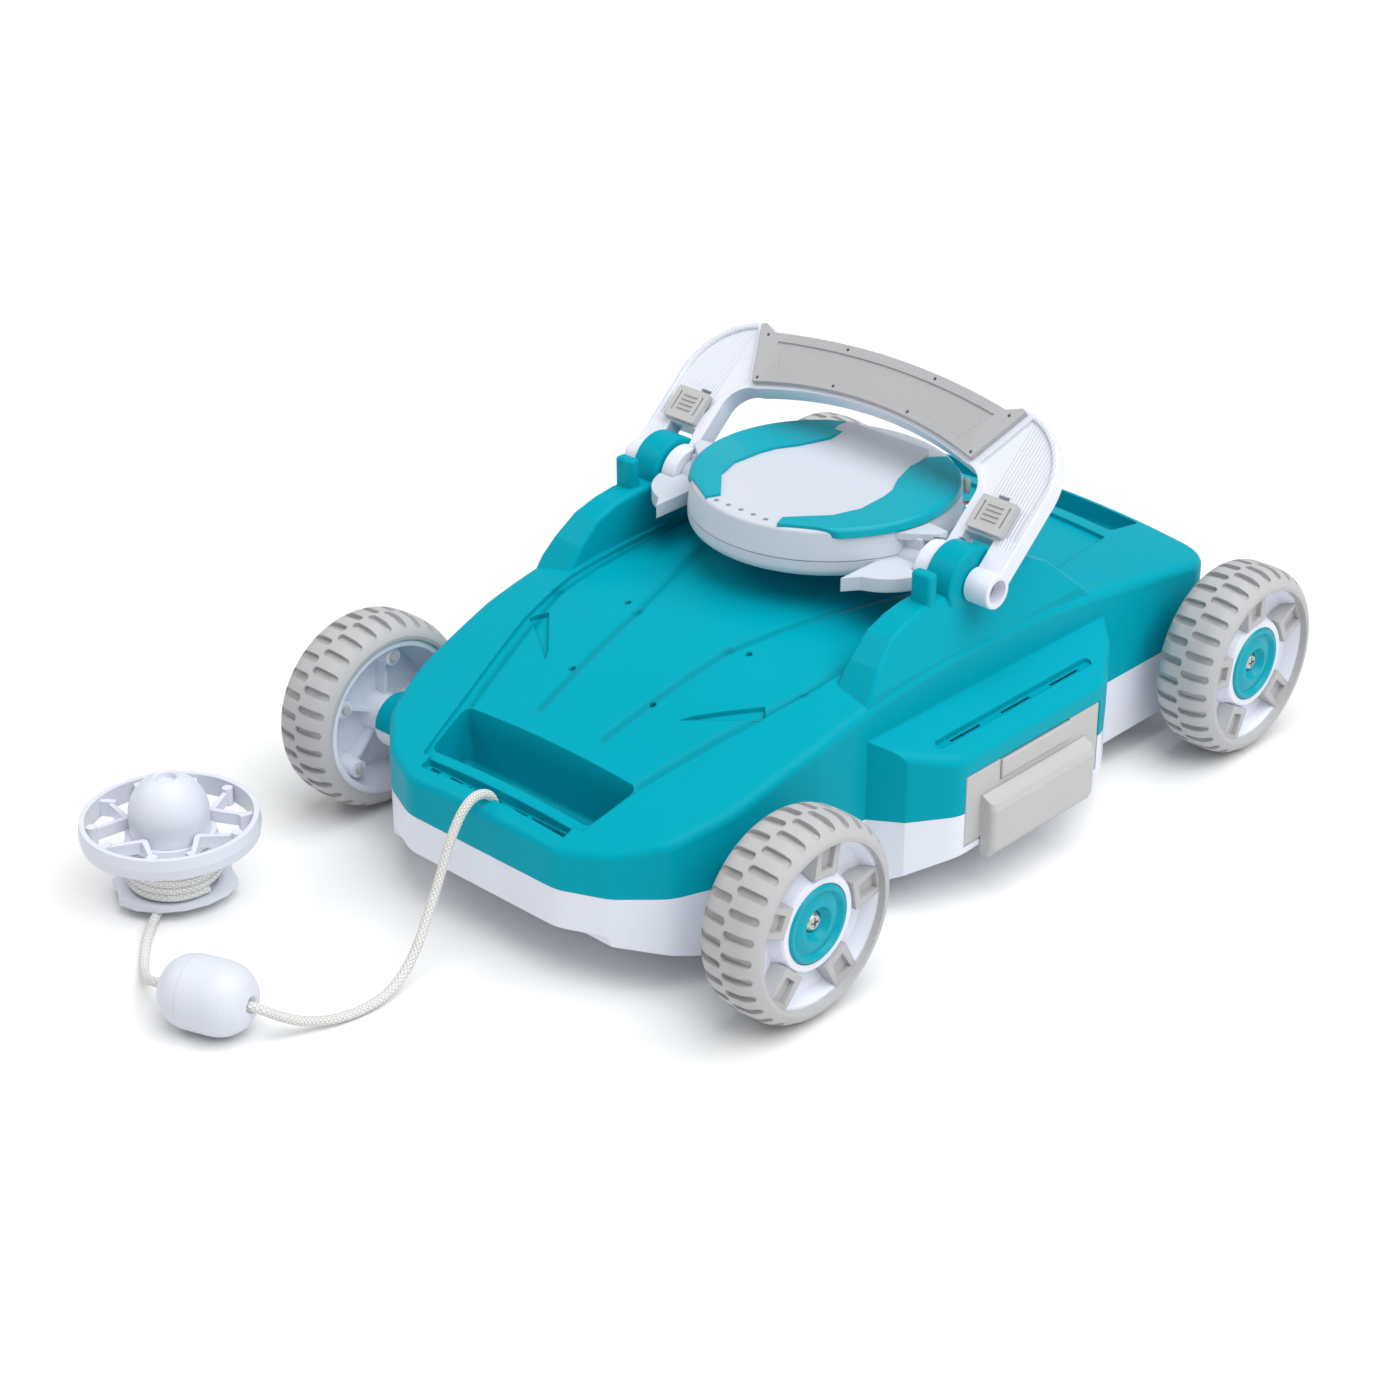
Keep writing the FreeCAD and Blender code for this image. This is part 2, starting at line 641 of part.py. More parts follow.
cover = cut("cover", shell_above, nose_slot, rope_hole, *nose_holes, *pocket_cuts, *mirror_cuts,
            screw_seat, screw_hole, *screw_bores, *bays, *axle_bores, outlet_hole, pin_bores)
node("top_cover", cover)


# ---------------------------------------------------------------- lower shell
def boat_side(name, lift):
    """Side outline of the lower shell: a stepped nose and a shallow belly."""
    part = body(name)
    outline = [
        (NOSE + " - 5", "30 + %s" % lift), (NOSE + " + 10", "30 + %s" % lift),
        (NOSE + " + 11", "25 + %s" % lift), (NOSE + " + 42", "16.5 + %s" % lift),
        ("-90", "12 + %s" % lift), ("60", "12 + %s" % lift),
        (TAIL + " - 30", "10 + %s" % lift), (TAIL + " + 5", "18 + %s" % lift),
        (TAIL + " + 5", "seam_height"), (NOSE + " - 5", "seam_height"),
    ]
    pad(part, sketch(part, "YZ_Plane", [outline]), "400", both=True)
    return part


def boat_section(name, lift):
    """Section of the lower shell: its belly rises under the side boxes."""
    part = body(name)
    half = [("box_half_width + 1", "28.6 + %s" % lift), ("body_half_width + 4", "15.5 + %s" % lift),
            ("body_half_width - 14", "9.5 + %s" % lift)]
    outline = half + [("-(%s)" % x, z) for x, z in reversed(half)]
    outline += [("-box_half_width - 1", "seam_height"), ("box_half_width + 1", "seam_height")]
    pad(part, sketch(part, "XZ_Plane", [outline]), "600", both=True)
    return part


def boat(name, inset):
    plans = [hull_prism(name + "_plan", inset, "0", "seam_height")]
    plans += both_sides(name + "_box", box_prism(name + "_box_plan", inset, "0", "seam_height"))
    return common(name, fuse(name + "_plans", *plans), boat_side(name + "_side", inset), boat_section(name + "_section", inset))


MOTOR_RADIUS = "21"
INTAKE_HALF = "36.5"
INTAKE_FRONT = "pivot_y - 36.5"
INTAKE_BACK = "pivot_y + 30.5"
lips_below = []
for end, y in (("front", FRONT_AXLE), ("rear", REAR_AXLE)):
    lip = axle_boss("lip_below_" + end, y, "axle_radius + 10", "body_half_width - 6", "wheel_track / 2 - wheel_width / 2 - 1")
    lips_below += both_sides("lip_below_" + end, lip)
above = box("above_seam", ("-200", "-300", "seam_height"), ("200", "300", "seam_height + 200"))
motor_pad = cylinder("motor_pad", ("0", PUMP_Y, "11"), MOTOR_RADIUS + " + 3", "7")
rails = []
for number, y in enumerate(("drawer_front_y + 14", "drawer_back_y - 20")):
    rail = box("rail_%d" % number, ("drawer_inner_x + 6", y, "12"), ("body_half_width - 12", y + " + 6", "drawer_bottom + 1.5"))
    rails += both_sides("rail_%d" % number, rail)
intake_hole = box("intake_hole", ("-%s" % INTAKE_HALF, INTAKE_FRONT, "0"), (INTAKE_HALF, INTAKE_BACK, "30"))
lower_skin = cut("lower_skin", boat("boat", "0"), boat("boat_inside", "wall"))
lower = fuse("lower_built", lower_skin, motor_pad, cut("lips_half", fuse("lips_below", *lips_below), above), *pillars_below, *rails)
lower = cut("lower", lower, intake_hole, *screw_bores, *bays, *axle_bores)
node("lower_shell", lower)


# ---------------------------------------------------------------- inside the body
gasket_plan = cut("gasket_ring", hull_prism("gasket_outside", "wall", "seam_height - 1.5", "seam_height + 1.5"),
                  hull_prism("gasket_inside", "(wall + 2.5)", "seam_height - 3", "seam_height + 3"))
gasket_gap = box("gasket_gap", ("-200", "drawer_front_y - 45", "0"), ("200", "drawer_back_y + 50", "100"))
node("shell_gasket", cut("gasket", gasket_plan, gasket_gap, *axle_bores))

throat = box("throat_block", ("-" + INTAKE_HALF, INTAKE_FRONT, "12"), (INTAKE_HALF, INTAKE_BACK, "72"))
channel = box("throat_channel", ("-34", INTAKE_FRONT + " + 2.5", "0"), ("34", INTAKE_BACK + " - 2.5", "69.5"))
windows = box("throat_windows", ("-50", "pivot_y - 28", "36"), ("50", "pivot_y + 22", "64"))
ledge = box("throat_ledge", ("-36", INTAKE_FRONT + " + 1", "20"), ("36", INTAKE_BACK + " - 1", "23"))
ledge_hole = box("ledge_hole", ("-30", INTAKE_FRONT + " + 6", "10"), ("30", INTAKE_BACK + " - 6", "40"))
flap_bore = cylinder("flap_bore", ("-60", INTAKE_FRONT + " + 6", "27"), "1.55", "120", "x")
throat = fuse("throat_built", cut("throat_open", throat, channel, windows), cut("ledge_ring", ledge, ledge_hole))
node("intake_throat", cut("throat", throat, flap_bore))
flap = box("flap_plate", ("-33.4", INTAKE_FRONT + " + 4.6", "23.3"), ("33.4", INTAKE_BACK + " - 3", "25.3"))
flap_barrel = cylinder("flap_barrel", ("-33.4", INTAKE_FRONT + " + 6", "27"), "2.7", "66.8", "x")
flap_pin = cylinder("flap_pin", ("-36", INTAKE_FRONT + " + 6", "27"), "1.5", "72", "x")
node("intake_flap", fuse("flap", flap, flap_barrel, flap_pin))

MOTOR_BASE = "18"
column = cylinder("pump_column", ("0", PUMP_Y, MOTOR_BASE), MOTOR_RADIUS + " + 3", "44")
volute = cylinder("volute", ("0", PUMP_Y, "seam_height + 8"), "32", "26")
spout = cylinder("spout", ("0", PUMP_Y, OUTLET_Z), "9", "(%s) - (%s) - 0.5" % (TAIL, PUMP_Y), "y")
volute_space = cylinder("volute_space", ("0", PUMP_Y, "seam_height + 11"), "28.5", "20")
motor_space = cylinder("motor_space", ("0", PUMP_Y, "0"), MOTOR_RADIUS, "seam_height + 5.5")
shaft_space = cylinder("shaft_space", ("0", PUMP_Y, "40"), "8", "25")
suction = cylinder("suction", ("0", PUMP_Y, "seam_height + 20"), "11", "30")
spout_bore = cylinder("spout_bore", ("0", PUMP_Y + " + 20", OUTLET_Z), "6.5", "120", "y")
node("pump_housing", cut("pump", fuse("pump_block", column, volute, spout), volute_space, motor_space,
                         shaft_space, suction, spout_bore))
motor = cylinder("motor_can", ("0", PUMP_Y, MOTOR_BASE), MOTOR_RADIUS + " - gap", "seam_height + 5 - 18")
motor_bore = cylinder("motor_bore", ("0", PUMP_Y, MOTOR_BASE + " + 6"), "3.05", "60")
node("pump_motor", cut("motor", motor, motor_bore))
seal = body("shaft_seal", ("0", PUMP_Y, "seam_height + 5.5"))
revolve(seal, sketch(seal, "XZ_Plane", [[("3.1", "0"), ("8", "0"), ("8", "4.5"), ("5", "5"), ("3.1", "3")]]))
node("motor_seal", seal)
shaft = cylinder("shaft_rod", ("0", PUMP_Y, MOTOR_BASE + " + 7"), "3", "seam_height + 26 - 18 - 7")
node("motor_shaft", shaft)
wheel = body("impeller_body", ("0", PUMP_Y, "seam_height + 13"))
revolve(wheel, sketch(wheel, "XZ_Plane", [[("3", "0"), ("25", "0"), ("25", "1.8"), ("7", "3.5"), ("6", "14"), ("3", "14")]]))
blade = pad(wheel, sketch(wheel, "XY_Plane", [[("5", "-1"), ("16", "-4"), ("24.5", "-1"), ("24.5", "0.6"),
                                               ("16", "-2.2"), ("5", "1")]], "1"), "11")
around(wheel, [blade], "6")
node("impeller", wheel)


# ---------------------------------------------------------------- axles, screws, pins
AXLE_HALF = "wheel_track / 2 + 7"
axles = []
for end, y in (("front", FRONT_AXLE), ("rear", REAR_AXLE)):
    rod = cylinder("axle_rod_" + end, ("-(%s)" % AXLE_HALF, y, "wheel_radius"), "axle_radius", "2 * (%s)" % AXLE_HALF, "x")
    hole = cylinder("axle_hole_" + end, ("-200", y, "wheel_radius"), "1.9", "400", "x")
    core = box("axle_core_" + end, ("-wheel_track / 2 + 8", y + " - 10", "0"), ("wheel_track / 2 - 8", y + " + 10", "200"))
    axles.append(node("axle_" + end, cut("axle_" + end + "_cut", rod, cut("axle_ends_" + end, hole, core))))
bushes = []
for end, y in (("front", FRONT_AXLE), ("rear", REAR_AXLE)):
    sleeve = axle_boss("bush_" + end, y, BUSH_RADIUS, "body_half_width - 6", "wheel_track / 2 - wheel_width / 2 - 0.4")
    bushes += both_sides("bush_" + end, sleeve)
rods = [cylinder("bush_bore_" + end, ("-200", y, "wheel_radius"), "axle_radius", "400", "x")
        for end, y in (("front", FRONT_AXLE), ("rear", REAR_AXLE))]
node("axle_bushes", cut("bushes", fuse("bush_set", *bushes), *rods))


def screw(name, at, axis, angle, head, shank, length):
    """A cross-head screw whose head rests on the local ground plane."""
    part = body(name, at, axis, angle)
    profile = [
        ("0", "-(%s)" % length), (shank, "-(%s)" % length), (shank, "0"), (head, "0"),
        (head, "0.9"), ("(%s) * 0.72" % head, "2.1"), ("0", "2.4"),
    ]
    revolve(part, sketch(part, "XZ_Plane", [profile]))
    long = "(%s) * 0.52" % head
    for wide, deep in ((long, "0.55"), ("0.55", long)):
        corners = [(wide, deep), ("-" + wide, deep), ("-" + wide, "-" + deep), (wide, "-" + deep)]
        pocket(part, sketch(part, "XY_Plane", [corners], "1.1"), "5", back=True)
    return part


hub_screw = screw("hub_screw", ("wheel_track / 2 + 8.6", FRONT_AXLE, "wheel_radius"), (0, 1, 0), "90", "4.7", "1.9", "13")


def mirrored_back(name, thing):
    """The same piece on the other axle."""
    copy = mirrored(name, thing)
    copy.Normal = V(0, 1, 0)
    copy.Base = V(0, val("(%s + %s) / 2" % (FRONT_AXLE, REAR_AXLE)), 0)
    bind(copy, "Base.y", "(%s + %s) / 2" % (FRONT_AXLE, REAR_AXLE))
    return copy


def four_wheels(name, thing):
    """Front right, front left, rear right and rear left from the first."""
    left = mirrored(name + "_fl", thing)
    return [("front_right", thing), ("front_left", left),
            ("rear_right", mirrored_back(name + "_rr", thing)), ("rear_left", mirrored_back(name + "_rl", left))]


node("hub_screws", fuse("hub_screw_set", *[thing for place_name, thing in four_wheels("hub_screw", hub_screw)]))
shell_screws = [screw("tail_screw", ("0", TAIL_SCREW_Y, "crown_tail + 8"), (0, 0, 1), "0", "4.2", "1.9", "12")]
for number, (x, y, low, high) in enumerate(PILLARS):
    lower_screw = screw("shell_screw_%d" % number, (x, y, "18"), (1, 0, 0), "180", "3.4", "1.75", "seam_height - 8")
    shell_screws += both_sides("shell_screw_%d" % number, lower_screw)
node("cover_screws", fuse("cover_screw_set", *shell_screws))
pin = cylinder("pivot_pin", ("pod_radius - 4", "pivot_y", "pivot_z"), "pin_radius", "handle_half - pod_radius - 2.5", "x")
node("pivot_pins", fuse("pivot_pin_set", *both_sides("pivot_pin", pin)))
anchor = cylinder("anchor_block", ("0", ROPE_HOLE_Y, "seam_height + 8"), "6", "crown_nose - 6.5 - seam_height - 8")
anchor_bore = cylinder("anchor_bore", ("0", ROPE_HOLE_Y, "seam_height"), "rope_diameter / 2", "40")
node("rope_anchor", cut("anchor", anchor, anchor_bore))


# ---------------------------------------------------------------- wheels
WHEEL_AT = ("wheel_track / 2", FRONT_AXLE, "wheel_radius")
SPOKE_PHASE = 28


def wheel_body(name):
    """A body whose local +Z points out along the axle of the front right wheel."""
    part = body(name, WHEEL_AT, (0, 1, 0), "90")
    part.Placement.Rotation = FreeCAD.Rotation(V(0, 1, 0), 90) * FreeCAD.Rotation(V(0, 0, 1), SPOKE_PHASE)
    return part


rim = wheel_body("rim")
rim_profile = [
    ("axle_radius + run_gap", "-17"), ("9", "-17"), ("10.5", "-3"), ("31", "-1.5"), ("36.5", "-12"),
    ("37.2", "-16.4"), ("tyre_seat", "-16.4"), ("tyre_seat", "13.6"), ("tyre_seat - 1.4", "13.6"),
    ("36", "7.4"), ("30", "5.4"), ("cap_radius + 6.5", "5.4"), ("cap_radius + 4.2", "11.6"),
    ("cap_radius + 3.4", "12.6"), ("cap_radius + 0.3", "12.6"), ("cap_radius + 0.3", "5"),
    ("axle_radius + run_gap", "5"),
]
revolve(rim, sketch(rim, "XZ_Plane", [rim_profile]))
rim_boss = pad(rim, sketch(rim, "XY_Plane", [("circle", "31", "0", "4.6")], "-13"), "13")
gusset = pad(rim, sketch(rim, "XY_Plane", [[("8", "-1"), ("37.5", "-1"), ("37.5", "1"), ("8", "1")]], "-9"), "8")
around(rim, [rim_boss, gusset], "spokes")
seat = pocket(rim, sketch(rim, "XY_Plane", [[("cap_radius + 4.3", "-7.5"), ("tyre_seat + 1", "-7.5"),
                                             ("tyre_seat + 1", "7.5"), ("cap_radius + 4.3", "7.5")]], "5.2"), "20", back=True)
peg_hole = pocket(rim, sketch(rim, "XY_Plane", [("circle", "31", "0", "2.2")], "-14"), "30", back=True)
around(rim, [seat, peg_hole], "spokes")
tyre = wheel_body("tyre")
EDGE = "wheel_width / 2"
tyre_profile = [
    ("tyre_seat", "-" + EDGE), ("tyre_lip", "-" + EDGE, "12"), ("wheel_radius - 0.4", "-8", "80.2"),
    ("wheel_radius - 0.4", "8", "12"), ("tyre_lip", EDGE), ("tyre_seat", EDGE),
]
revolve(tyre, sketch(tyre, "XZ_Plane", [tyre_profile]))
spoke = pad(tyre, sketch(tyre, "XY_Plane", [[("cap_radius + 4.3", "-7.5"), ("tyre_seat + 0.8", "-7.5"),
                                             ("tyre_seat + 0.8", "7.5"), ("cap_radius + 4.3", "7.5")]], "5.2"), "8.6")
peg = pad(tyre, sketch(tyre, "XY_Plane", [("circle", "31", "0", "2.2")], "-14.5"), "20")
around(tyre, [spoke, peg], "spokes")
window = pocket(tyre, sketch(tyre, "XY_Plane", [[("cap_radius + 8", "-3.6"), ("tyre_seat - 2", "-4.6"),
                                                 ("tyre_seat - 2", "4.6"), ("cap_radius + 8", "3.6")]], "11.2"), "10", back=True)
around(tyre, [window], "spokes")
for row, turn in ((1, 0), (-1, 180 / val("treads"))):
    near = "%s * 1.4" % row
    far = "%s * 13.4" % row
    ends = [near, far] if row > 0 else [far, near]
    slot = [("2", ends[0]), ("2", ends[1], "2.1"), ("-2", ends[1]), ("-2", ends[0], "2.1")]
    groove = sketch(tyre, "YZ_Plane", [slot], "wheel_radius - 2")
    tilt = FreeCAD.Rotation(V(1, 0, 0), -row * 9)
    spin = FreeCAD.Rotation(V(0, 1, 0), turn)
    place_at = FreeCAD.Placement(V(0, 0, val("wheel_radius - 2")), tilt)
    groove.AttachmentOffset = FreeCAD.Placement(V(), spin) * place_at
    if turn:
        bind(groove, "AttachmentOffset.Base.z", "(wheel_radius - 2) * cos(%s)" % turn)
        bind(groove, "AttachmentOffset.Base.x", "(wheel_radius - 2) * sin(%s)" % turn)
    around(tyre, [pocket(tyre, groove, "8", back=True)], "treads")
cap = wheel_body("cap")
cap_profile = [
    ("5.1", "5"), ("cap_radius", "5"), ("cap_radius", "12.4"), ("cap_radius - 1", "13.6"),
    ("cap_radius - 2.8", "13.6"), ("cap_radius - 4.4", "11.9"), ("10.5", "13"), ("8.4", "13"),
    ("6.2", "10.2"), ("5.1", "9.6"),
]
revolve(cap, sketch(cap, "XZ_Plane", [cap_profile]))
for piece, label in ((rim, "wheel_rim_"), (tyre, "wheel_tyre_"), (cap, "hub_cap_")):
    for corner, thing in four_wheels(piece.Name, piece):
        node(label + corner, thing)


# ---------------------------------------------------------------- handle
PIVOT = ("0", "pivot_y", "pivot_z")


def arm_body(name):
    """A body in the handle's own frame: +Y along the arms, +Z out of its face."""
    part = body(name, PIVOT, (1, 0, 0), "handle_tilt")
    bind(part, "Placement.Rotation.Angle", "handle_tilt")
    return part


arch = [
    ("87.9", "4"), ("87.9", "22"), ("105", "22"), ("105", "0"), ("handle_half", "0"),
    ("handle_half", "50", "40"), ("84", "handle_reach"), ("74", "handle_reach - 3.5", "368.8"),
]
inner = [("-68", "53.5", "-225.4"), ("68", "53.5", "-14"), ("81.5", "40"), ("81.5", "4")]
mirror_arch = [("-74", "handle_reach - 3.5"), ("-84", "handle_reach", "40"), ("-handle_half", "50"),
               ("-handle_half", "0"), ("-105", "0"), ("-105", "22"), ("-87.9", "22"), ("-87.9", "4"),
               ("-81.5", "4"), ("-81.5", "40", "-14")]
HALF_THICK = "handle_thick / 2"
frame = arm_body("handle_arch")
pad(frame, sketch(frame, "XY_Plane", [arch + mirror_arch + inner], "-" + HALF_THICK), "handle_thick")
cheek = [
    ("90.5", "24.5"), ("115", "24.5"), ("115", "50", "36.5"), ("88.2", "handle_reach - 4.3"),
    ("74.8", "56"), ("85.4", "43"), ("86.5", "38"),
]
mirror_cheek = [("-90.5", "24.5"), ("-86.5", "38"), ("-85.4", "43"), ("-74.8", "56"),
                ("-88.2", "handle_reach - 4.3", "36.5"), ("-115", "50"), ("-115", "24.5")]
pocket(frame, sketch(frame, "XY_Plane", [cheek, mirror_cheek], "handle_thick / 2 - 1.6"), "10", back=True)
slots = [[(x1, "27"), (x2, "27"), (x2, "44.5"), (x1, "44.5")] for x1, x2 in (("93.2", "99.8"), ("-99.8", "-93.2"))]
pocket(frame, sketch(frame, "XY_Plane", slots, "-handle_thick"), "30", back=True)
round_edges(frame, "1.2", lambda e, m: e.Length > 40 and (abs(m.x) > 100 or m.y > 92) and abs(m.z) > 4.9)
joints = []
bores = []
for number, (x, radius, length) in enumerate((("78", "eyelet_radius", "8.8"), ("104.4", "tube_radius", "handle_half - 104.4"))):
    ring = cylinder("handle_ring_%d" % number, (x, "pivot_y", "pivot_z"), radius, length, "x")
    ring = round_block("handle_ring_%d_round" % number, ring, "0.8", lambda e, m: e.Length > 20)
    joints += both_sides("handle_ring_%d" % number, ring)
bore = cylinder("handle_bore", ("-200", "pivot_y", "pivot_z"), "pin_radius + run_gap", "400", "x")
drum = cylinder("drum_space", ("barrel_inner_x - 0.7", "pivot_y", "pivot_z"), "barrel_radius + 0.8", "17.2", "x")
drums = both_sides("drum_space", drum)
node("handle_frame", cut("handle", fuse("handle_built", cut("arch_cleared", frame, *drums), *joints), bore))

grip_plan = [
    ("70.6", "55.6"), ("85", "handle_reach - 2.9"), ("82.5", "handle_reach - 1.5"),
    ("74", "handle_reach - 5", "394.6"), ("-74", "handle_reach - 5"),
    ("-82.5", "handle_reach - 1.5"), ("-85", "handle_reach - 2.9"), ("-70.6", "55.6", "-244.8"),
]
grip = arm_body("grip_plate")
pad(grip, sketch(grip, "XY_Plane", [grip_plan], HALF_THICK), "grip_thick")
grip_inner = [("58", "62.6"), ("69.5", "80.3", "410"), ("-69.5", "80.3"), ("-58", "62.6", "-250")]
pocket(grip, sketch(grip, "XY_Plane", [grip_inner], HALF_THICK + " + grip_thick - 0.7"), "5", back=True)
dots = [("circle", x, y, "0.9") for x, y in (
    ("77.5", "82.2"), ("-77.5", "82.2"), ("69", "58.5"), ("-69", "58.5"), ("28", "88"), ("-28", "88"),
    ("24", "67.2"), ("-24", "67.2"))]
pocket(grip, sketch(grip, "XY_Plane", dots, HALF_THICK + " + 1"), "10", back=True)
node("grip_front", grip)
back_grip = arm_body("back_plate")
back_outline = [("66", "56.5"), ("78", "handle_reach - 6"), ("70", "handle_reach - 7.5", "394.6"),
                ("-70", "handle_reach - 7.5"), ("-78", "handle_reach - 6"), ("-66", "56.5", "-244.8")]
pad(back_grip, sketch(back_grip, "XY_Plane", [back_outline], "-%s - grip_thick" % HALF_THICK), "grip_thick")
round_edges(back_grip, "1", lambda e, m: e.Length > 100)
node("grip_back", back_grip)

latch = arm_body("latch_plate")
pad(latch, sketch(latch, "XY_Plane", [[("88.5", "23"), ("109.5", "23"), ("109.5", "41"), ("88.5", "41")]],
                  HALF_THICK + " + 0.1"), "3.6")
round_edges(latch, "1", upright)
for step in range(4):
    low = "28.6 + 2.6 * %d" % step
    rib = [("94.5", low), ("103.5", low), ("103.5", low + " + 0.9"), ("94.5", low + " + 0.9")]
    pad(latch, sketch(latch, "XY_Plane", [rib], HALF_THICK + " + 3"), "1.3")
lines = [[(x, "27"), (x + " + 0.8", "27"), (x + " + 0.8", "38"), (x, "38")] for x in ("91.2", "106")]
pocket(latch, sketch(latch, "XY_Plane", lines, HALF_THICK + " + 2.7"), "5", back=True)
stem = [("93.5", "27.5"), ("99.5", "27.5"), ("99.5", "37.5"), ("93.5", "37.5")]
pad(latch, sketch(latch, "XY_Plane", [stem], "-handle_thick / 2 - 0.3"), "handle_thick + 1")
foot = [("91.5", "26.5"), ("101.5", "26.5"), ("101.5", "38.5"), ("91.5", "38.5")]
pad(latch, sketch(latch, "XY_Plane", [foot], "-handle_thick / 2 - 1.8"), "1.6")
node("handle_latch_right", latch)
node("handle_latch_left", mirrored("latch_mirror", latch))


# ---------------------------------------------------------------- pod
def pod_body(name):
    return body(name, ("0", "pod_y", "0"))


lower_pod = pod_body("pod_dish")
pod_profile = [
    ("0", "pod_floor"), ("pod_radius - 5", "pod_floor", "5"), ("pod_radius", "pod_floor + 5"),
    ("pod_radius", "pod_seam - 0.1"), ("pod_radius - pod_wall", "pod_seam - 0.1"),
    ("pod_radius - pod_wall", "pod_floor + 5"), ("pod_radius - 5", "pod_floor + pod_wall"),
    ("0", "pod_floor + pod_wall"),
]
revolve(lower_pod, sketch(lower_pod, "XZ_Plane", [pod_profile]))
ear = cylinder("pod_ear", ("pod_radius - 7", "pivot_y", "pivot_z"), "9.5", "17.6 - 1", "x")
lug = body("lower_lug")
lug_plan = [("60", "pivot_y - 45"), ("66", "pivot_y - 37.1", "30"), ("86", "pivot_y - 15"), ("86", "pivot_y - 10"), ("60", "pivot_y + 2")]
pad(lug, sketch(lug, "XY_Plane", [lug_plan], "pivot_z - 3"), "7")
upper_lug = body("upper_lug")
upper_plan = [("58", "pivot_y - 11"), ("67", "pivot_y - 7"), ("80", "pivot_y + 3.5"), ("80.5", "pivot_y + 9"), ("66", "pivot_y + 11"), ("58", "pivot_y + 16")]
pad(upper_lug, sketch(upper_lug, "XY_Plane", [upper_plan], "pivot_z + 12.8"), "3.6")
web = box("ear_web", ("pod_radius - 6", "pivot_y - 4", "pivot_z"), ("pod_radius + 6", "pivot_y + 6", "pivot_z + 14"))
eye_space = cylinder("eye_space", ("77.6", "pivot_y", "pivot_z"), "eyelet_radius + 0.8", "30", "x")
ears = cut("pod_ears", fuse("ears_built", ear, lug, upper_lug, web), eye_space)
dish_space = cylinder("dish_space", ("0", "pod_y", "pod_floor + pod_wall"), "pod_radius - pod_wall", "60")
ear_set = cut("ears_outside", fuse("ears_both", *both_sides("pod_ears", ears)), dish_space)
pin_space = cylinder("pod_pin_space", ("-200", "pivot_y", "pivot_z"), "pin_radius + run_gap", "400", "x")
node("pod_lower", cut("pod_lower_cut", fuse("pod_lower_built", lower_pod, ear_set), pin_space))

upper_pod = pod_body("pod_lid")
lid_profile = [
    ("0", "pod_top - pod_wall"), ("pod_radius - 4.2", "pod_top - pod_wall"), ("pod_radius - pod_wall", "pod_seam + 0.2"),
    ("pod_radius", "pod_seam + 0.2"), ("pod_radius - 1.6", "pod_top - 2", "2.1"), ("pod_radius - 3.6", "pod_top"),
    ("0", "pod_top"),
]
revolve(upper_pod, sketch(upper_pod, "XZ_Plane", [lid_profile]))
cowl = pod_body("pod_cowl")
cowl_plan = [("-27", "14"), ("25", "14"), ("25.5", "48"), ("22", "53.5"), ("-28", "53.5"), ("-32", "47")]
pad(cowl, sketch(cowl, "XY_Plane", [cowl_plan], "pod_top - 1"), "10")
round_edges(cowl, "3", lambda e, m: upright(e, m) and m.y > 40)
cowl_side = pod_body("pod_cowl_side")
cowl_rise = [("12", "pod_top - 1"), ("54", "pod_top - 1"), ("54", "pod_top + 2.2", "3"), ("51", "pod_top + 3.4", "-90"),
             ("15", "pod_top + 0.02"), ("12", "pod_top + 0.02")]
pad(cowl_side, sketch(cowl_side, "YZ_Plane", [cowl_rise]), "100", both=True)
cowl_wedge = common("cowl_wedge", cowl, cowl_side)
dot_holes = [cylinder("dot_hole_%d" % n, (x, "pod_y - 59.5", "pod_top - 10"), "1.25", "20")
             for n, x in enumerate(("-18", "-10", "-2", "6", "14"))]
knob_spot = cylinder("knob_spot", ("0", "pod_y", "153.5"), "2.6", "80", "x")
knob_spot.Placement.Rotation = FreeCAD.Rotation(V(0, 0, 1), 46) * FreeCAD.Rotation(V(0, 1, 0), 90)
node("pod_upper", cut("pod_upper_cut", fuse("pod_upper_built", upper_pod, cowl_wedge), *dot_holes, ear_set, knob_spot, pin_space))

trim_edge = [
    ("23", "-61.6"), ("20", "-54.3"), ("36", "-36.3"), ("41", "-21.3"), ("40", "-3.3"), ("38", "5.7"),
    ("32", "16.7"), ("26.2", "33.7"), ("26.2", "48.7"), ("32", "55"), ("60", "40"), ("75", "0"), ("60", "-40"),
]
trim = pod_body("trim_plate")
pad(trim, sketch(trim, "XY_Plane", [trim_edge], "pod_top - 6"), "6 + trim_thick")
round_edges(trim, "4", lambda e, m: upright(e, m) and m.x < 42 and -50 < m.y < 30)
trim_disc = pod_body("trim_disc")
disc_profile = [
    ("0", "pod_top + 0.05"), ("pod_radius - 3.55", "pod_top + 0.05", "-2.15"), ("pod_radius - 1.5", "pod_top - 2.2"),
    ("pod_radius - 1.3", "pod_top - 3.6"), ("pod_radius - 0.2", "pod_top - 3.4"),
    ("pod_radius - 0.6", "pod_top - 1.4", "3.4"), ("pod_radius - 3.2", "pod_top + trim_thick"), ("0", "pod_top + trim_thick"),
]
revolve(trim_disc, sketch(trim_disc, "XZ_Plane", [disc_profile]))
trim_right = common("trim_right", trim, trim_disc)
node("pod_trim_right", trim_right)
node("pod_trim_left", mirrored("trim_left", trim_right))
ring = pod_body("seal_ring")
revolve(ring, sketch(ring, "XZ_Plane", [[("pod_radius - 4.4", "pod_seam - 2"), ("pod_radius - 2.6", "pod_seam - 2"),
                                         ("pod_radius - 2.6", "pod_seam + 2"), ("pod_radius - 4.4", "pod_seam + 2")]]))
node("pod_seal", cut("pod_seal_cut", ring, pin_space))
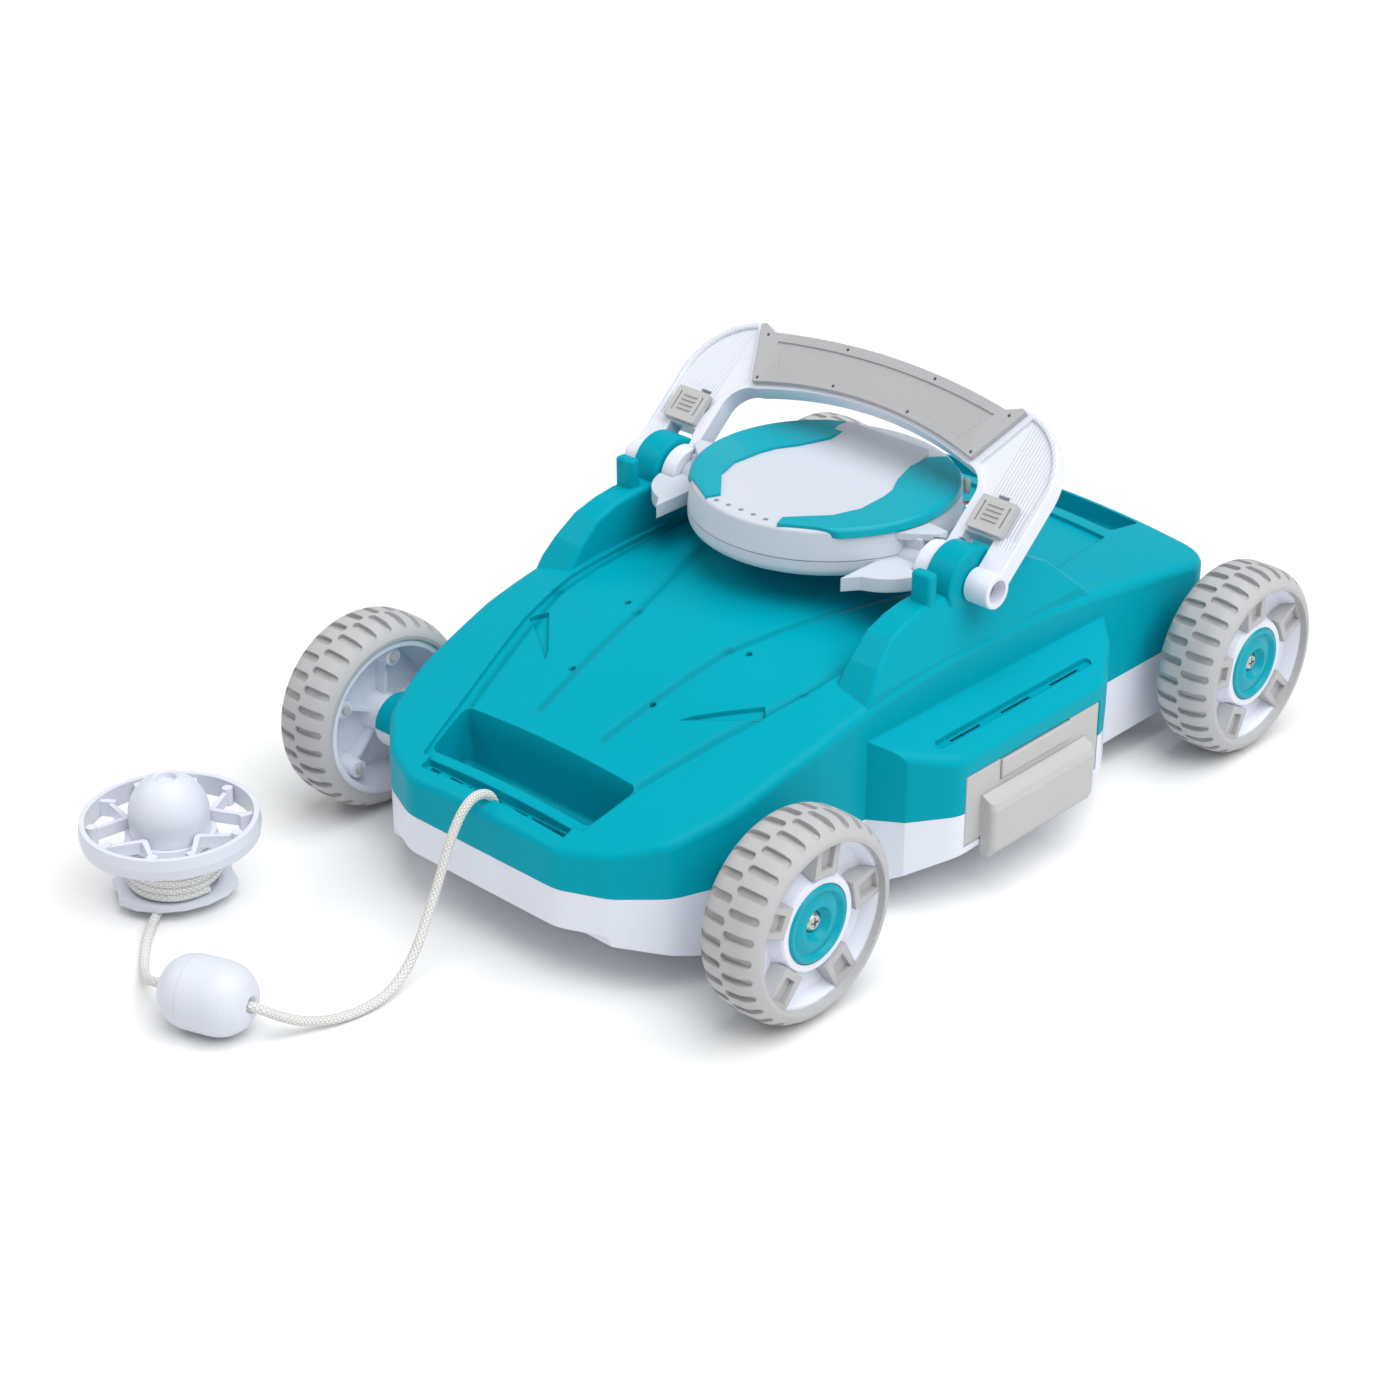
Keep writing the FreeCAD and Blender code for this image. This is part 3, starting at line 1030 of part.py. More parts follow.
pack = box("battery_block", ("-42", "pod_y - 24", "pod_floor + pod_wall"), ("42", "pod_y + 30", "pod_seam + 8"))
node("battery_pack", round_block("battery_round", pack, "4", lambda e, m: m.z > 152 or upright(e, m)))
board = box("board", ("-30", "pod_y - 22", "pod_seam + 8"), ("30", "pod_y + 20", "pod_seam + 9.6"))
chips = [box("chip_%d" % n, (x, "pod_y + %s" % y, "pod_seam + 9.6"), (x + " + 9", "pod_y + %s + 7" % y, "pod_seam + 11.4"))
         for n, (x, y) in enumerate((("-22", "-12"), ("-5", "6"), ("12", "-14")))]
node("circuit_board", fuse("board_built", board, *chips))
bar = box("light_bar", ("-20", "pod_y - 60.2", "pod_top - pod_wall - 2"), ("16", "pod_y - 56", "pod_top - pod_wall"))
lamps = [cylinder("lamp_%d" % n, (x, "pod_y - 59.5", "pod_top - pod_wall - 1"), "1.2", "pod_wall + 1.2")
         for n, x in enumerate(("-18", "-10", "-2", "6", "14"))]
node("light_pipes", fuse("lights", bar, *lamps))
knob = body("knob_body", ("0", "pod_y", "153.5"))
knob.Placement.Rotation = FreeCAD.Rotation(V(0, 0, 1), 46) * FreeCAD.Rotation(V(0, 1, 0), 90)
pad(knob, sketch(knob, "XY_Plane", [("circle", "0", "0", "2.55")], "pod_radius - 7"), "9")
pad(knob, sketch(knob, "XY_Plane", [("circle", "0", "0", "3.9")], "pod_radius + 0.9"), "2.6")
node("power_knob", knob)


# ---------------------------------------------------------------- filter drawers
tray = box("tray_block", ("drawer_inner_x", "drawer_front_y + 5", "drawer_bottom + 1.6"),
           ("box_half_width - drawer_plate", "drawer_back_y - 5", "drawer_top - 3"))
tray_space = box("tray_space", ("drawer_inner_x - 5", "drawer_front_y + 7", "drawer_bottom + 3.6"),
                 ("box_half_width - drawer_plate - 2", "drawer_back_y - 7", "drawer_top + 5"))
screen_hole = box("screen_hole", ("drawer_inner_x + 8", "drawer_front_y + 16", "0"),
                  ("body_half_width - 4", "drawer_back_y - 16", "100"))
plate = box("drawer_face", ("box_half_width - drawer_plate", "drawer_front_y + gap", "drawer_bottom + gap"),
            ("box_half_width", "drawer_back_y - gap", "drawer_top - gap"))
plate = round_block("drawer_face_round", plate, "1", lambda e, m: m.x > val("box_half_width") - 0.1)
pull = body("drawer_pull", ("0", SLOT_Y, "0"))
pull_side = [
    ("box_half_width - 1", "54"), ("box_half_width + 0.6", "55"), ("box_half_width + 7.2", "51.5"),
    ("box_half_width + 8.4", "48"), ("box_half_width + 8.2", "27"), ("box_half_width + 6", "23"),
    ("box_half_width + 0.4", "23"), ("box_half_width + 0.4", "33"), ("box_half_width - 1", "33"),
]
pad(pull, sketch(pull, "XZ_Plane", [pull_side]), "80", both=True)
round_edges(pull, "3", lambda e, m: abs(e.tangentAt(e.FirstParameter).y) < 0.1 and m.x > val("box_half_width") + 6.5)
pull_space = [("box_half_width + 1.5", "10"), ("box_half_width + 6.4", "10"), ("box_half_width + 6.4", "46"), ("box_half_width + 1.5", "46")]
pocket(pull, sketch(pull, "XZ_Plane", [pull_space]), "74", both=True)
latch_seat = box("latch_seat", ("box_half_width - 1.8", "drawer_front_y + 25.6", "58"), ("200", "drawer_front_y + 79.4", "100"))
drawer = cut("drawer_cut", fuse("drawer_built", tray, plate, pull), tray_space, screen_hole, latch_seat)
node("filter_drawer_right", drawer)
node("filter_drawer_left", mirrored("drawer_mirror", drawer))
mesh = box("mesh_plate", ("drawer_inner_x + 4", "drawer_front_y + 12", "drawer_bottom + 3.6"),
           ("body_half_width", "drawer_back_y - 12", "drawer_bottom + 4.8"))
bars_out = []
for number in range(7):
    low = "drawer_inner_x + 9 + %d * 7.4" % number
    bars_out.append(box("mesh_hole_%d" % number, (low, "drawer_front_y + 17", "0"), (low + " + 4.6", "drawer_back_y - 17", "100")))
cross = [box("mesh_bar_%d" % n, ("drawer_inner_x + 6", "drawer_front_y + %s" % y, "drawer_bottom + 3.8"),
             ("body_half_width - 2", "drawer_front_y + %s + 1.4" % y, "drawer_bottom + 4.6"))
         for n, y in enumerate(("30", "44", "58", "72"))]
screen = fuse("screen", cut("screen_open", mesh, *bars_out), *cross)
node("filter_screen_right", screen)
node("filter_screen_left", mirrored("screen_mirror", screen))
tab = box("tab_plate", ("box_half_width - 1.4", "drawer_front_y + 26", "58.6"), ("box_half_width + 1.2", "drawer_front_y + 79", "68.4"))
tab = round_block("tab_round", tab, "0.8", lambda e, m: m.x > val("box_half_width") + 1)
node("drawer_latch_right", tab)
node("drawer_latch_left", mirrored("tab_mirror", tab))


# ---------------------------------------------------------------- floats
egg_turn = FreeCAD.Rotation(V(0, 0, 1), 20.6) * FreeCAD.Rotation(V(0, 1, 0), -90)
for label, away in (("egg_half_a", "egg_length"), ("egg_half_b", "-egg_length")):
    half = body(label + "_body", ("-38", "-355", "egg_radius"))
    half.Placement.Rotation = egg_turn
    bore_end = "rope_diameter / 2 + run_gap"
    bulge = [(bore_end + " + 2", "-egg_length / 2"), ("egg_radius * 0.62", "-egg_length * 0.46"),
             ("egg_radius * 0.9", "-egg_length * 0.32"), ("egg_radius", "-egg_length * 0.1"),
             ("egg_radius", "egg_length * 0.1"), ("egg_radius * 0.9", "egg_length * 0.32"),
             ("egg_radius * 0.62", "egg_length * 0.46"), (bore_end + " + 2", "egg_length / 2")]
    arcs = []
    for here, there in zip(bulge, bulge[1:]):
        arcs.append(here if here[0] == there[0] else here + ("egg_radius * 1.25",))
    outline = arcs + [bulge[-1], (bore_end, "egg_length * 0.44"), (bore_end, "-egg_length * 0.44")]
    revolve(half, sketch(half, "XZ_Plane", [outline]))
    cutter = [("egg_radius + 5", "egg_length * %s" % 0.17), ("-egg_radius - 5", "egg_length * %s" % 0.17)]
    cutter += [("-egg_radius - 5", away), ("egg_radius + 5", away)]
    pocket(half, sketch(half, "XZ_Plane", [cutter]), "100", both=True)
    node(label, half)


def winder_body(name):
    return body(name, ("winder_x", "winder_y", "0"))


hub = winder_body("winder_hub")
revolve(hub, sketch(hub, "XZ_Plane", [[("0", "0"), ("10", "0"), ("10", "5"), ("16.9", "8"), ("16.9", "32"), ("0", "32")]]))
oval = []
for step in range(16):
    angle = 2 * math.pi * step / 16
    reach = 31 if step % 8 else 27.5
    x, y = reach * math.cos(angle), 25 * math.sin(angle)
    turn = math.radians(62)
    oval.append(("%.3f" % (x * math.cos(turn) - y * math.sin(turn)), "%.3f" % (x * math.sin(turn) + y * math.cos(turn))))
pad(hub, sketch(hub, "XY_Plane", [oval], "5"), "3")
node("winder_plate", hub)
reel = winder_body("winder_reel")
outer = [("17", "8.3"), ("23", "8.3")]
outer += [("23", "%s" % (8.3 + 4.6 * k), "2.6") for k in range(5)] + [("23", "31.3"), ("17", "31.3")]
revolve(reel, sketch(reel, "XZ_Plane", [outer[:1] + outer[2:]]))
node("rope_winding", reel)
wheel_ring = winder_body("winder_rim")
revolve(wheel_ring, sketch(wheel_ring, "XZ_Plane", [[("ring_radius - 3.4", "33"), ("ring_radius - 0.8", "33"), ("ring_radius", "38"),
                                                     ("ring_radius - 0.8", "43.5"), ("ring_radius - 3.4", "43.5")]]))
disc = revolve(wheel_ring, sketch(wheel_ring, "XZ_Plane", [[("5", "32"), ("21.5", "32"), ("21.5", "35.5"), ("5", "35.5")]]))
zig = pad(wheel_ring, sketch(wheel_ring, "XY_Plane", [[("20", "-1.1"), ("33", "-14"), ("35", "-13"), ("22", "1.1"), ("20", "1.1")]], "35"), "6")
zag = pad(wheel_ring, sketch(wheel_ring, "XY_Plane", [[("20", "-1.1"), ("22", "-1.1"), ("35", "13"), ("33", "14"), ("20", "1.1")]], "35"), "6")
spur = pad(wheel_ring, sketch(wheel_ring, "XY_Plane", [[("30", "-14.5"), ("ring_radius - 4", "-14.5"), ("ring_radius - 4", "-11.5"), ("30", "-11.5")]], "33.5"), "8")
post = pad(wheel_ring, sketch(wheel_ring, "XY_Plane", [("circle", "34", "13.2", "2.6")], "33.5"), "9")
around(wheel_ring, [zig, zag, spur, post], "5")
node("winder_ring", wheel_ring)
dome = winder_body("winder_cap")
dome_profile = [
    ("0", "35.5"), ("dome_radius", "35.5"), ("dome_radius", "46", "dome_radius + 2"), ("7.5", "64"),
    ("6", "64.8"), ("4.8", "64"), ("4.2", "61.5"), ("0", "61.5"),
]
revolve(dome, sketch(dome, "XZ_Plane", [dome_profile]))
node("winder_dome", dome)


# ---------------------------------------------------------------- rope
ROUTE = [
    (0, -213.47, 60), (0, -213.47, 74), (-0.2, -223, 80.5), (-1, -232, 76.5), (-3, -239.5, 62), (-3.6, -246, 45),
    (-2.4, -256, 28), (1, -268, 14), (3.6, -283, 4.6), (4, -299, 2.6), (1.4, -314, 2.8), (-3.6, -327, 5),
    (-9, -338, 10.5), (-16, -346.8, 17.5), (-60, -363.3, 17.5), (-76, -360, 10.5), (-89, -352.5, 4.2),
    (-103, -342, 2.6), (-117, -329, 2.6), (-129, -314, 2.7), (-136, -303.6, 2.8),
]


def rope_wire(points):
    """Straight runs joined by tangent arcs."""
    edges = []
    here = points[0]
    for before, corner, after in zip(points, points[1:], points[2:]):
        run_in, run_out = corner - before, after - corner
        turn = run_in.getAngle(run_out)
        reach = 0.45 * min(run_in.Length, run_out.Length)
        start = corner - run_in.normalize() * reach
        end = corner + run_out.normalize() * reach
        way = (after - corner).normalize() - (corner - before).normalize()
        radius = reach / math.tan(turn / 2)
        middle = corner + way.normalize() * (radius / math.cos(turn / 2) - radius)
        edges.append(Part.makeLine(here, start))
        edges.append(Part.Arc(start, middle, end).toShape())
        here = end
    edges.append(Part.makeLine(here, points[-1]))
    return Part.Wire(edges)


route = doc.addObject("Part::Feature", "rope_route")
route.Shape = rope_wire([V(*p) for p in ROUTE])
rope_section = doc.addObject("Part::Circle", "rope_section")
rope_section.Placement = FreeCAD.Placement(V(*ROUTE[0]), FreeCAD.Rotation())
bind(rope_section, "Radius", "rope_diameter / 2")
sweep = doc.addObject("Part::Sweep", "rope_sweep")
sweep.Sections = [rope_section]
sweep.Spine = (route, [])
sweep.Solid = True
sweep.Frenet = False
node("rope", sweep)


# ---------------------------------------------------------------- checks and export
doc.recompute()
for thing in doc.Objects:
    if "Invalid" in thing.State or "Error" in thing.State:
        raise RuntimeError(thing.Name + " did not build")
for piece in NODES:
    if piece.Shape.isNull() or not piece.Shape.isValid():
        raise RuntimeError(piece.Label + " is not a valid solid")
    piece.Shape.exportStep("parts/%s.step" % piece.Label)
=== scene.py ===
import math

import bpy
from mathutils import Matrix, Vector


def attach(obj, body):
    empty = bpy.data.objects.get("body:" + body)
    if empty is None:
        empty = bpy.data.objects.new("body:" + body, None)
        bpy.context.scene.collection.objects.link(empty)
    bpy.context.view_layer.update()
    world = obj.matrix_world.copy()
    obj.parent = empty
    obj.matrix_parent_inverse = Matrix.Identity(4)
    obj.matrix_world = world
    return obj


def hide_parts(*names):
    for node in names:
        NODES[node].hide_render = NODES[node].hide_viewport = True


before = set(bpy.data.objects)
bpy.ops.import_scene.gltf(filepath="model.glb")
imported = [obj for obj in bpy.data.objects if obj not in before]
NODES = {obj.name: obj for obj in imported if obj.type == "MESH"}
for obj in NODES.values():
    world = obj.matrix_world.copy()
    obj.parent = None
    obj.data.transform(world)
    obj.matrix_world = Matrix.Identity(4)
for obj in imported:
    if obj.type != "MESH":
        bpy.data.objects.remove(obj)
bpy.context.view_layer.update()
scene = bpy.context.scene
MM = 0.001


# ---------------------------------------------------------------- camera
# A long lens from the front right, a little above. The aim point is between the body
# and the floats, so both stay in the frame.
VIEWPOINT = Vector((883.05, -1019.66, 765.02)) * MM
TARGET = Vector((-13.716, -62.37, 60.0)) * MM
cam_data = bpy.data.cameras.new("camera")
cam_data.sensor_width = 36
cam_data.lens = 77.536
cam_data.clip_start = 0.05
cam_data.clip_end = 20
camera = bpy.data.objects.new("camera", cam_data)
scene.collection.objects.link(camera)
camera.location = VIEWPOINT
camera.rotation_mode = "QUATERNION"
camera.rotation_quaternion = (TARGET - VIEWPOINT).to_track_quat("-Z", "Y")
scene.camera = camera


# ---------------------------------------------------------------- rope
# White braided rope. It is tied to an anchor inside the nose, drops to the ground,
# runs through the egg float to the winder's foot and is wound on the reel in two layers.
# The free run and the winding are one line each, with the rope's radius on its points.
ROUTE = [
    (0, -213.47, 60), (0, -213.47, 74), (-0.2, -223, 80.5), (-1, -232, 76.5),
    (-3, -239.5, 62), (-3.6, -246, 45), (-2.4, -256, 28), (1, -268, 14), (3.6, -283, 4.6),
    (4, -299, 2.6), (1.4, -314, 2.8), (-3.6, -327, 5), (-9, -338, 10.5), (-16, -346.8, 17.5),
    (-60, -363.3, 17.5), (-76, -360, 10.5), (-89, -352.5, 4.2), (-103, -342, 2.6),
    (-117, -329, 2.6), (-129, -314, 2.7), (-136, -303.6, 2.8),
]
ROPE_RADIUS = 2.3 * MM
WINDER = (-139.0, -295.0)
TURNS = 5
POINTS_PER_TURN = 14
REEL_LOW, REEL_HIGH = 10.6, 29.2
LAYERS = ((19.0, REEL_LOW, REEL_HIGH), (21.4, REEL_HIGH, REEL_LOW))
FIRST_ANGLE = 0.6
WOBBLE, WOBBLE_RATE = 0.25, 3.1
BRAID_PITCH = 5.2 * MM
STRANDS_ROUND = 3
ROPE_WHITE = (0.88, 0.88, 0.86)
# Grey that is mixed into the rope's grooves as painted shade.
GROOVE_PAINTED_SHADE = (0.50, 0.50, 0.48)


def rope_line(name, points):
    """A round line on given points. Its bevel is 1 and each point's radius is the rope's, which keeps
    the curve's box as small as the rope."""
    curve = bpy.data.curves.new(name, "CURVE")
    curve.dimensions = "3D"
    spline = curve.splines.new("NURBS")
    spline.points.add(len(points) - 1)
    for point, place in zip(spline.points, points):
        point.co = (*[c * MM for c in place], 1)
        point.radius = ROPE_RADIUS
    spline.order_u = 3
    spline.use_endpoint_u = True
    curve.resolution_u = 12
    curve.bevel_depth = 1
    curve.bevel_resolution = 5
    curve.use_fill_caps = True
    thing = bpy.data.objects.new(name, curve)
    scene.collection.objects.link(thing)
    return thing


def line_length(thing):
    """Length in metres of a line's centre, measured with its bevel switched off."""
    bevel = thing.data.bevel_depth
    thing.data.bevel_depth = 0
    bpy.context.view_layer.update()
    graph = bpy.context.evaluated_depsgraph_get()
    mesh = bpy.data.meshes.new_from_object(thing.evaluated_get(graph))
    places = [v.co.copy() for v in mesh.vertices]
    bpy.data.meshes.remove(mesh)
    thing.data.bevel_depth = bevel
    return sum((b - a).length for a, b in zip(places, places[1:]))


def reel_turns():
    """Points of the two layers, the first climbing the reel and the second coming down."""
    places = []
    last_step = TURNS * POINTS_PER_TURN - 1
    for layer, (reach, first, last) in enumerate(LAYERS):
        for step in range(last_step + 1):
            angle = 2 * math.pi * step / POINTS_PER_TURN + FIRST_ANGLE
            radius = reach + WOBBLE * math.sin(WOBBLE_RATE * angle + layer)
            x = WINDER[0] + radius * math.cos(angle)
            y = WINDER[1] + radius * math.sin(angle)
            places.append((x, y, first + (last - first) * step / last_step))
    return places


class Field:
    """A shader socket. Arithmetic on it adds Math nodes to its paint."""

    def __init__(self, paint, socket):
        self.paint = paint
        self.socket = socket

    def math(self, operation, *others):
        return self.paint.node(
            "ShaderNodeMath", {"operation": operation}, dict(enumerate((self,) + others)))

    def __add__(self, other):
        return self.math("ADD", other)

    __radd__ = __add__

    def __sub__(self, other):
        return self.math("SUBTRACT", other)

    def __rsub__(self, other):
        return self.paint.node("ShaderNodeMath", {"operation": "SUBTRACT"}, {0: other, 1: self})

    def __mul__(self, other):
        return self.math("MULTIPLY", other)

    __rmul__ = __mul__

    def sin(self):
        return self.math("SINE")

    def abs(self):
        return self.math("ABSOLUTE")

    def clamp(self):
        return self.math("MAXIMUM", 0.0).math("MINIMUM", 1.0)

    def step(self, low, high):
        """0 under low, 1 over high, smooth between."""
        return self.paint.node(
            "ShaderNodeMapRange", {"interpolation_type": "SMOOTHSTEP"}, {0: self, 1: low, 2: high})


class Paint:
    """One Principled material, with colour, gloss and relief laid on by fields."""

    def __init__(self, name, color, rough, metallic=0.0, coat=0.0, specular=0.5, edge=0.0):
        self.material = bpy.data.materials.new(name)
        self.material.use_nodes = True
        self.tree = self.material.node_tree
        self.shader = self.tree.nodes["Principled BSDF"]
        for socket, value in (
            ("Base Color", (*color, 1)),
            ("Roughness", rough),
            ("Metallic", metallic),
            ("Coat Weight", coat),
            ("Coat Roughness", 0.12),
            ("Specular IOR Level", specular),
        ):
            self.shader.inputs[socket].default_value = value
        self.edge = edge
        self.color = (*color, 1)
        self.height = None
        self.x, self.y, self.z = self.split("Object")

    def node(self, kind, settings, sockets, output=0):
        """A node of a type, with its settings first and then its sockets' values or links."""
        node = self.tree.nodes.new(kind)
        for name, value in settings.items():
            setattr(node, name, value)
        for key, value in sockets.items():
            if isinstance(value, Field):
                self.tree.links.new(value.socket, node.inputs[key])
            else:
                node.inputs[key].default_value = value
        return Field(self, node.outputs[output])

    def split(self, kind):
        """The three parts of a texture coordinate."""
        place = self.node("ShaderNodeTexCoord", {}, {}, kind)
        parts = self.node("ShaderNodeSeparateXYZ", {}, {0: place})
        return [Field(self, socket) for socket in parts.socket.node.outputs]

    def noise(self, scale, detail):
        place = self.node("ShaderNodeTexCoord", {}, {}, "Object")
        return self.node(
            "ShaderNodeTexNoise", {}, {"Scale": scale, "Detail": detail, "Vector": place})

    def mix(self, factor, color):
        """Blends another colour in by a factor field, over what is there."""
        self.color = self.node(
            "ShaderNodeMix", {"data_type": "RGBA"},
            {"Factor": factor, "A": self.color, "B": (*color, 1)}, "Result")

    def gloss(self, field):
        self.tree.links.new(field.socket, self.shader.inputs["Roughness"])

    def relief(self, field, weight):
        """Adds to the height field that the bump reads, in millimetres."""
        part = field * weight
        self.height = part if self.height is None else self.height + part

    def finish(self):
        """Links the colour, and the bump over normals softened at the edges."""
        if isinstance(self.color, Field):
            self.tree.links.new(self.color.socket, self.shader.inputs["Base Color"])
        sockets = {}
        if self.edge:
            sockets["Normal"] = self.node(
                "ShaderNodeBevel", {"samples": 4}, {"Radius": self.edge})
        if self.height is not None:
            sockets.update(Distance=MM, Strength=1.0, Height=self.height)
            sockets["Normal"] = self.node("ShaderNodeBump", {}, sockets)
        if sockets:
            self.tree.links.new(sockets["Normal"].socket, self.shader.inputs["Normal"])
        return self.material


def rope_paint(name, length):
    """Two families of strands wound opposite ways round the line, with a soft fuzz, and painted shade
    darkening the grooves between the strands.
    """
    paint = Paint(name, ROPE_WHITE, 0.7)
    along, round_it, _ = paint.split("UV")
    run = along * (length / BRAID_PITCH * 2 * math.pi)
    twist = round_it * (2 * math.pi * STRANDS_ROUND)
    strands = ((run + twist).sin() * (run - twist).sin()).abs()
    paint.relief(strands.step(0.0, 0.7), 0.45)
    paint.relief(paint.noise(2500, 2), 0.12)
    # Painted shade: the grooves between the strands are darkened towards grey.
    paint.mix((0.75 - strands).clamp() * 0.5, GROOVE_PAINTED_SHADE)
    return paint.finish()


rope = rope_line("braided_rope", ROUTE)
rope_length = line_length(rope)
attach(rope, "chassis")
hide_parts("rope")
turns = reel_turns()
winding = rope_line("wound_rope", turns)
winding_length = line_length(winding)
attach(winding, "chassis")
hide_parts("rope_winding")
rope.data.materials.append(rope_paint("rope_braid", rope_length))
winding.data.materials.append(rope_paint("winding_braid", winding_length))
[c * MM for c in turns[0]]


# ---------------------------------------------------------------- top cover
# Injection-moulded turquoise cover with a satin spark texture, screwed down on the lower shell. The
# panel folds that run back over the hood are shallow relief, with painted shade darkening the colour
# along them.
CREASES = [
    ((0.056, -0.177), (0.080, -0.094)), ((0.080, -0.094), (0.083, 0.0)),
    ((0.083, 0.0), (0.074, 0.03)), ((0.021, -0.165), (0.030, -0.090)),
    ((0.030, -0.090), (0.060, 0.02)),
]
CREASE_WIDTH = 4 * MM
CREASE_DEPTH = 0.9
# Dark teal that is mixed in along the creases as painted shade.
CREASE_PAINTED_SHADE = (0.0, 0.2, 0.27)
HOOD_LOW, HOOD_HIGH = 66 * MM, 70 * MM


def moulded(name, color, rough, grain, coat=0.0, edge=0.6 * MM, specular=0.3):
    """Moulded plastic: a fine spark texture, faint flow marks and uneven gloss."""
    paint = Paint(name, color, rough, coat=coat, specular=specular, edge=edge)
    cloud = paint.noise(9, 3)
    fine = paint.noise(1400, 1)
    paint.mix(((cloud - 0.35) * 1.5).clamp(), [c * 0.94 for c in color])
    paint.gloss(cloud * 0.1 + fine * 0.06 + (rough - 0.08))
    paint.relief(fine, grain)
    return paint


def paint_nodes(paint, slot, *names):
    material = paint.finish()
    for name in names:
        piece = NODES[name]
        piece.data.materials.clear()
        piece.data.materials.append(material)


def distance_to(paint, start, end):
    """Distance in metres, seen from above, from a straight line between two points, left
    and right alike."""
    run_x = end[0] - start[0]
    run_y = end[1] - start[1]
    across = paint.x.abs() - start[0]
    back = paint.y - start[1]
    share = ((across * run_x + back * run_y) * (1 / (run_x ** 2 + run_y ** 2))).clamp()
    off_x = across - share * run_x
    off_y = back - share * run_y
    return (off_x * off_x + off_y * off_y).math("SQRT")


paint = moulded("turquoise_cover", (0.0, 0.36, 0.465), 0.34, 0.02, edge=1.2 * MM, specular=0.05)
hood = paint.z.step(HOOD_LOW, HOOD_HIGH)
for start, end in CREASES:
    fold = (1 - distance_to(paint, start, end).step(0.0, CREASE_WIDTH)) * hood
    paint.relief(fold, -CREASE_DEPTH)
    # Painted shade along each crease.
    paint.mix(fold * 0.35, CREASE_PAINTED_SHADE)
paint_nodes(paint, "turquoise_shell", "top_cover")


# ---------------------------------------------------------------- trims and hub caps
# Glossier turquoise mouldings: the two inlays that snap on the pod's lid, and the caps
# pressed into the wheels' hubs.
CORNERS = ("front_right", "front_left", "rear_right", "rear_left")
paint = moulded("turquoise_gloss", (0.0, 0.37, 0.47), 0.26, 0.006, edge=0.5 * MM, specular=0.18)
paint_nodes(
    paint, "turquoise_trim", "pod_trim_right", "pod_trim_left",
    *["hub_cap_" + corner for corner in CORNERS])


# ---------------------------------------------------------------- lower shell, throat and rims
# Bluish white mouldings with a light sheen: the boat-shaped lower shell, the intake throat
# welded into it, and the wheel rims that the tyres are moulded over.
WHITE = (0.79, 0.82, 0.91)
paint = moulded("white_shell", WHITE, 0.34, 0.006, coat=0.1, edge=0.8 * MM)
paint_nodes(
    paint, "white_shell", "lower_shell", "intake_throat",
    *["wheel_rim_" + corner for corner in CORNERS])


# ---------------------------------------------------------------- pod
# The sealed round pod that holds the battery: two satin white shells clamped on a seal.
paint = moulded("pod_white", (0.62, 0.66, 0.73), 0.36, 0.006, edge=0.8 * MM)
paint_nodes(paint, "white_shell", "pod_upper", "pod_lower")


# ---------------------------------------------------------------- floats
# Hollow white floats: the egg's two halves are welded round the rope, and the winder's
# dome, spoked ring and notched plate snap together round the reel.
paint = moulded("float_white", (0.70, 0.73, 0.81), 0.38, 0.01)
paint_nodes(
    paint, "white_float", "egg_half_a", "egg_half_b", "winder_dome", "winder_ring",
    "winder_plate")


# ---------------------------------------------------------------- handle
# One white moulding that turns on the pivot pins. Its cheeks carry fine upright lines,
# which are relief on the same plastic.
CHEEK_INNER, CHEEK_OUTER = 88.5 * MM, 89.2 * MM
CHEEK_LOW, CHEEK_HIGH = 157.5 * MM, 158.0 * MM
RIB_PITCH = 1.8 * MM
paint = moulded("handle_white", WHITE, 0.34, 0.004, coat=0.1, edge=0.8 * MM)
ribs = (paint.x * (2 * math.pi / RIB_PITCH)).sin()
cheek = paint.x.abs().step(CHEEK_INNER, CHEEK_OUTER) * paint.z.step(CHEEK_LOW, CHEEK_HIGH)
paint.relief(ribs * cheek, 0.12)
paint_nodes(paint, "white_shell", "handle_frame")


# ---------------------------------------------------------------- tyres
# Light grey soft plastic, matt, moulded over the rims and through their spokes.
paint = moulded("tyre_grey", (0.50, 0.50, 0.51), 0.62, 0.03, edge=0.9 * MM)
paint_nodes(paint, "grey_tyre", *["wheel_tyre_" + corner for corner in CORNERS])


# ---------------------------------------------------------------- drawers and small grey pieces
# Light grey satin mouldings: the filter drawers with their latch tabs, the handle locks,
# the power button, and the pump's pieces and bushes inside.
SIDES = ("right", "left")
paint = moulded("drawer_grey", (0.52, 0.52, 0.52), 0.42, 0.012, edge=0.8 * MM)
paint_nodes(
    paint, "grey_plastic", "pump_housing", "axle_bushes", "rope_anchor", "intake_flap",
    "impeller", "power_knob",
    *[kind + side for kind in ("filter_drawer_", "drawer_latch_", "handle_latch_") for side in SIDES])


# ---------------------------------------------------------------- grips
# Soft grey pads screwed to the front and back of the handle's arch, with fine upright
# lines between their plain ends.
GRIP_FIELD, GRIP_END = 65.5 * MM, 66.5 * MM
GRIP_PITCH = 1.6 * MM
paint = moulded("grip_grey", (0.47, 0.47, 0.48), 0.6, 0.02)
lines = (paint.x * (2 * math.pi / GRIP_PITCH)).sin()
paint.relief(lines * (1 - paint.x.abs().step(GRIP_FIELD, GRIP_END)), 0.1)
paint_nodes(paint, "grey_grip", "grip_front", "grip_back")


# ---------------------------------------------------------------- metal
# Brushed stainless steel: the motor's can and shaft, the axles, the pivot pins and the
# screws in the hubs and the shell.
paint = Paint("steel", (0.58, 0.57, 0.55), 0.3, metallic=1.0, edge=0.2 * MM)
paint.gloss(paint.noise(300, 2) * 0.2 + 0.2)
paint.relief(paint.noise(900, 1), 0.02)
paint_nodes(
    paint, "steel", "pump_motor", "motor_shaft", "axle_front", "axle_rear", "hub_screws",
    "cover_screws", "pivot_pins")


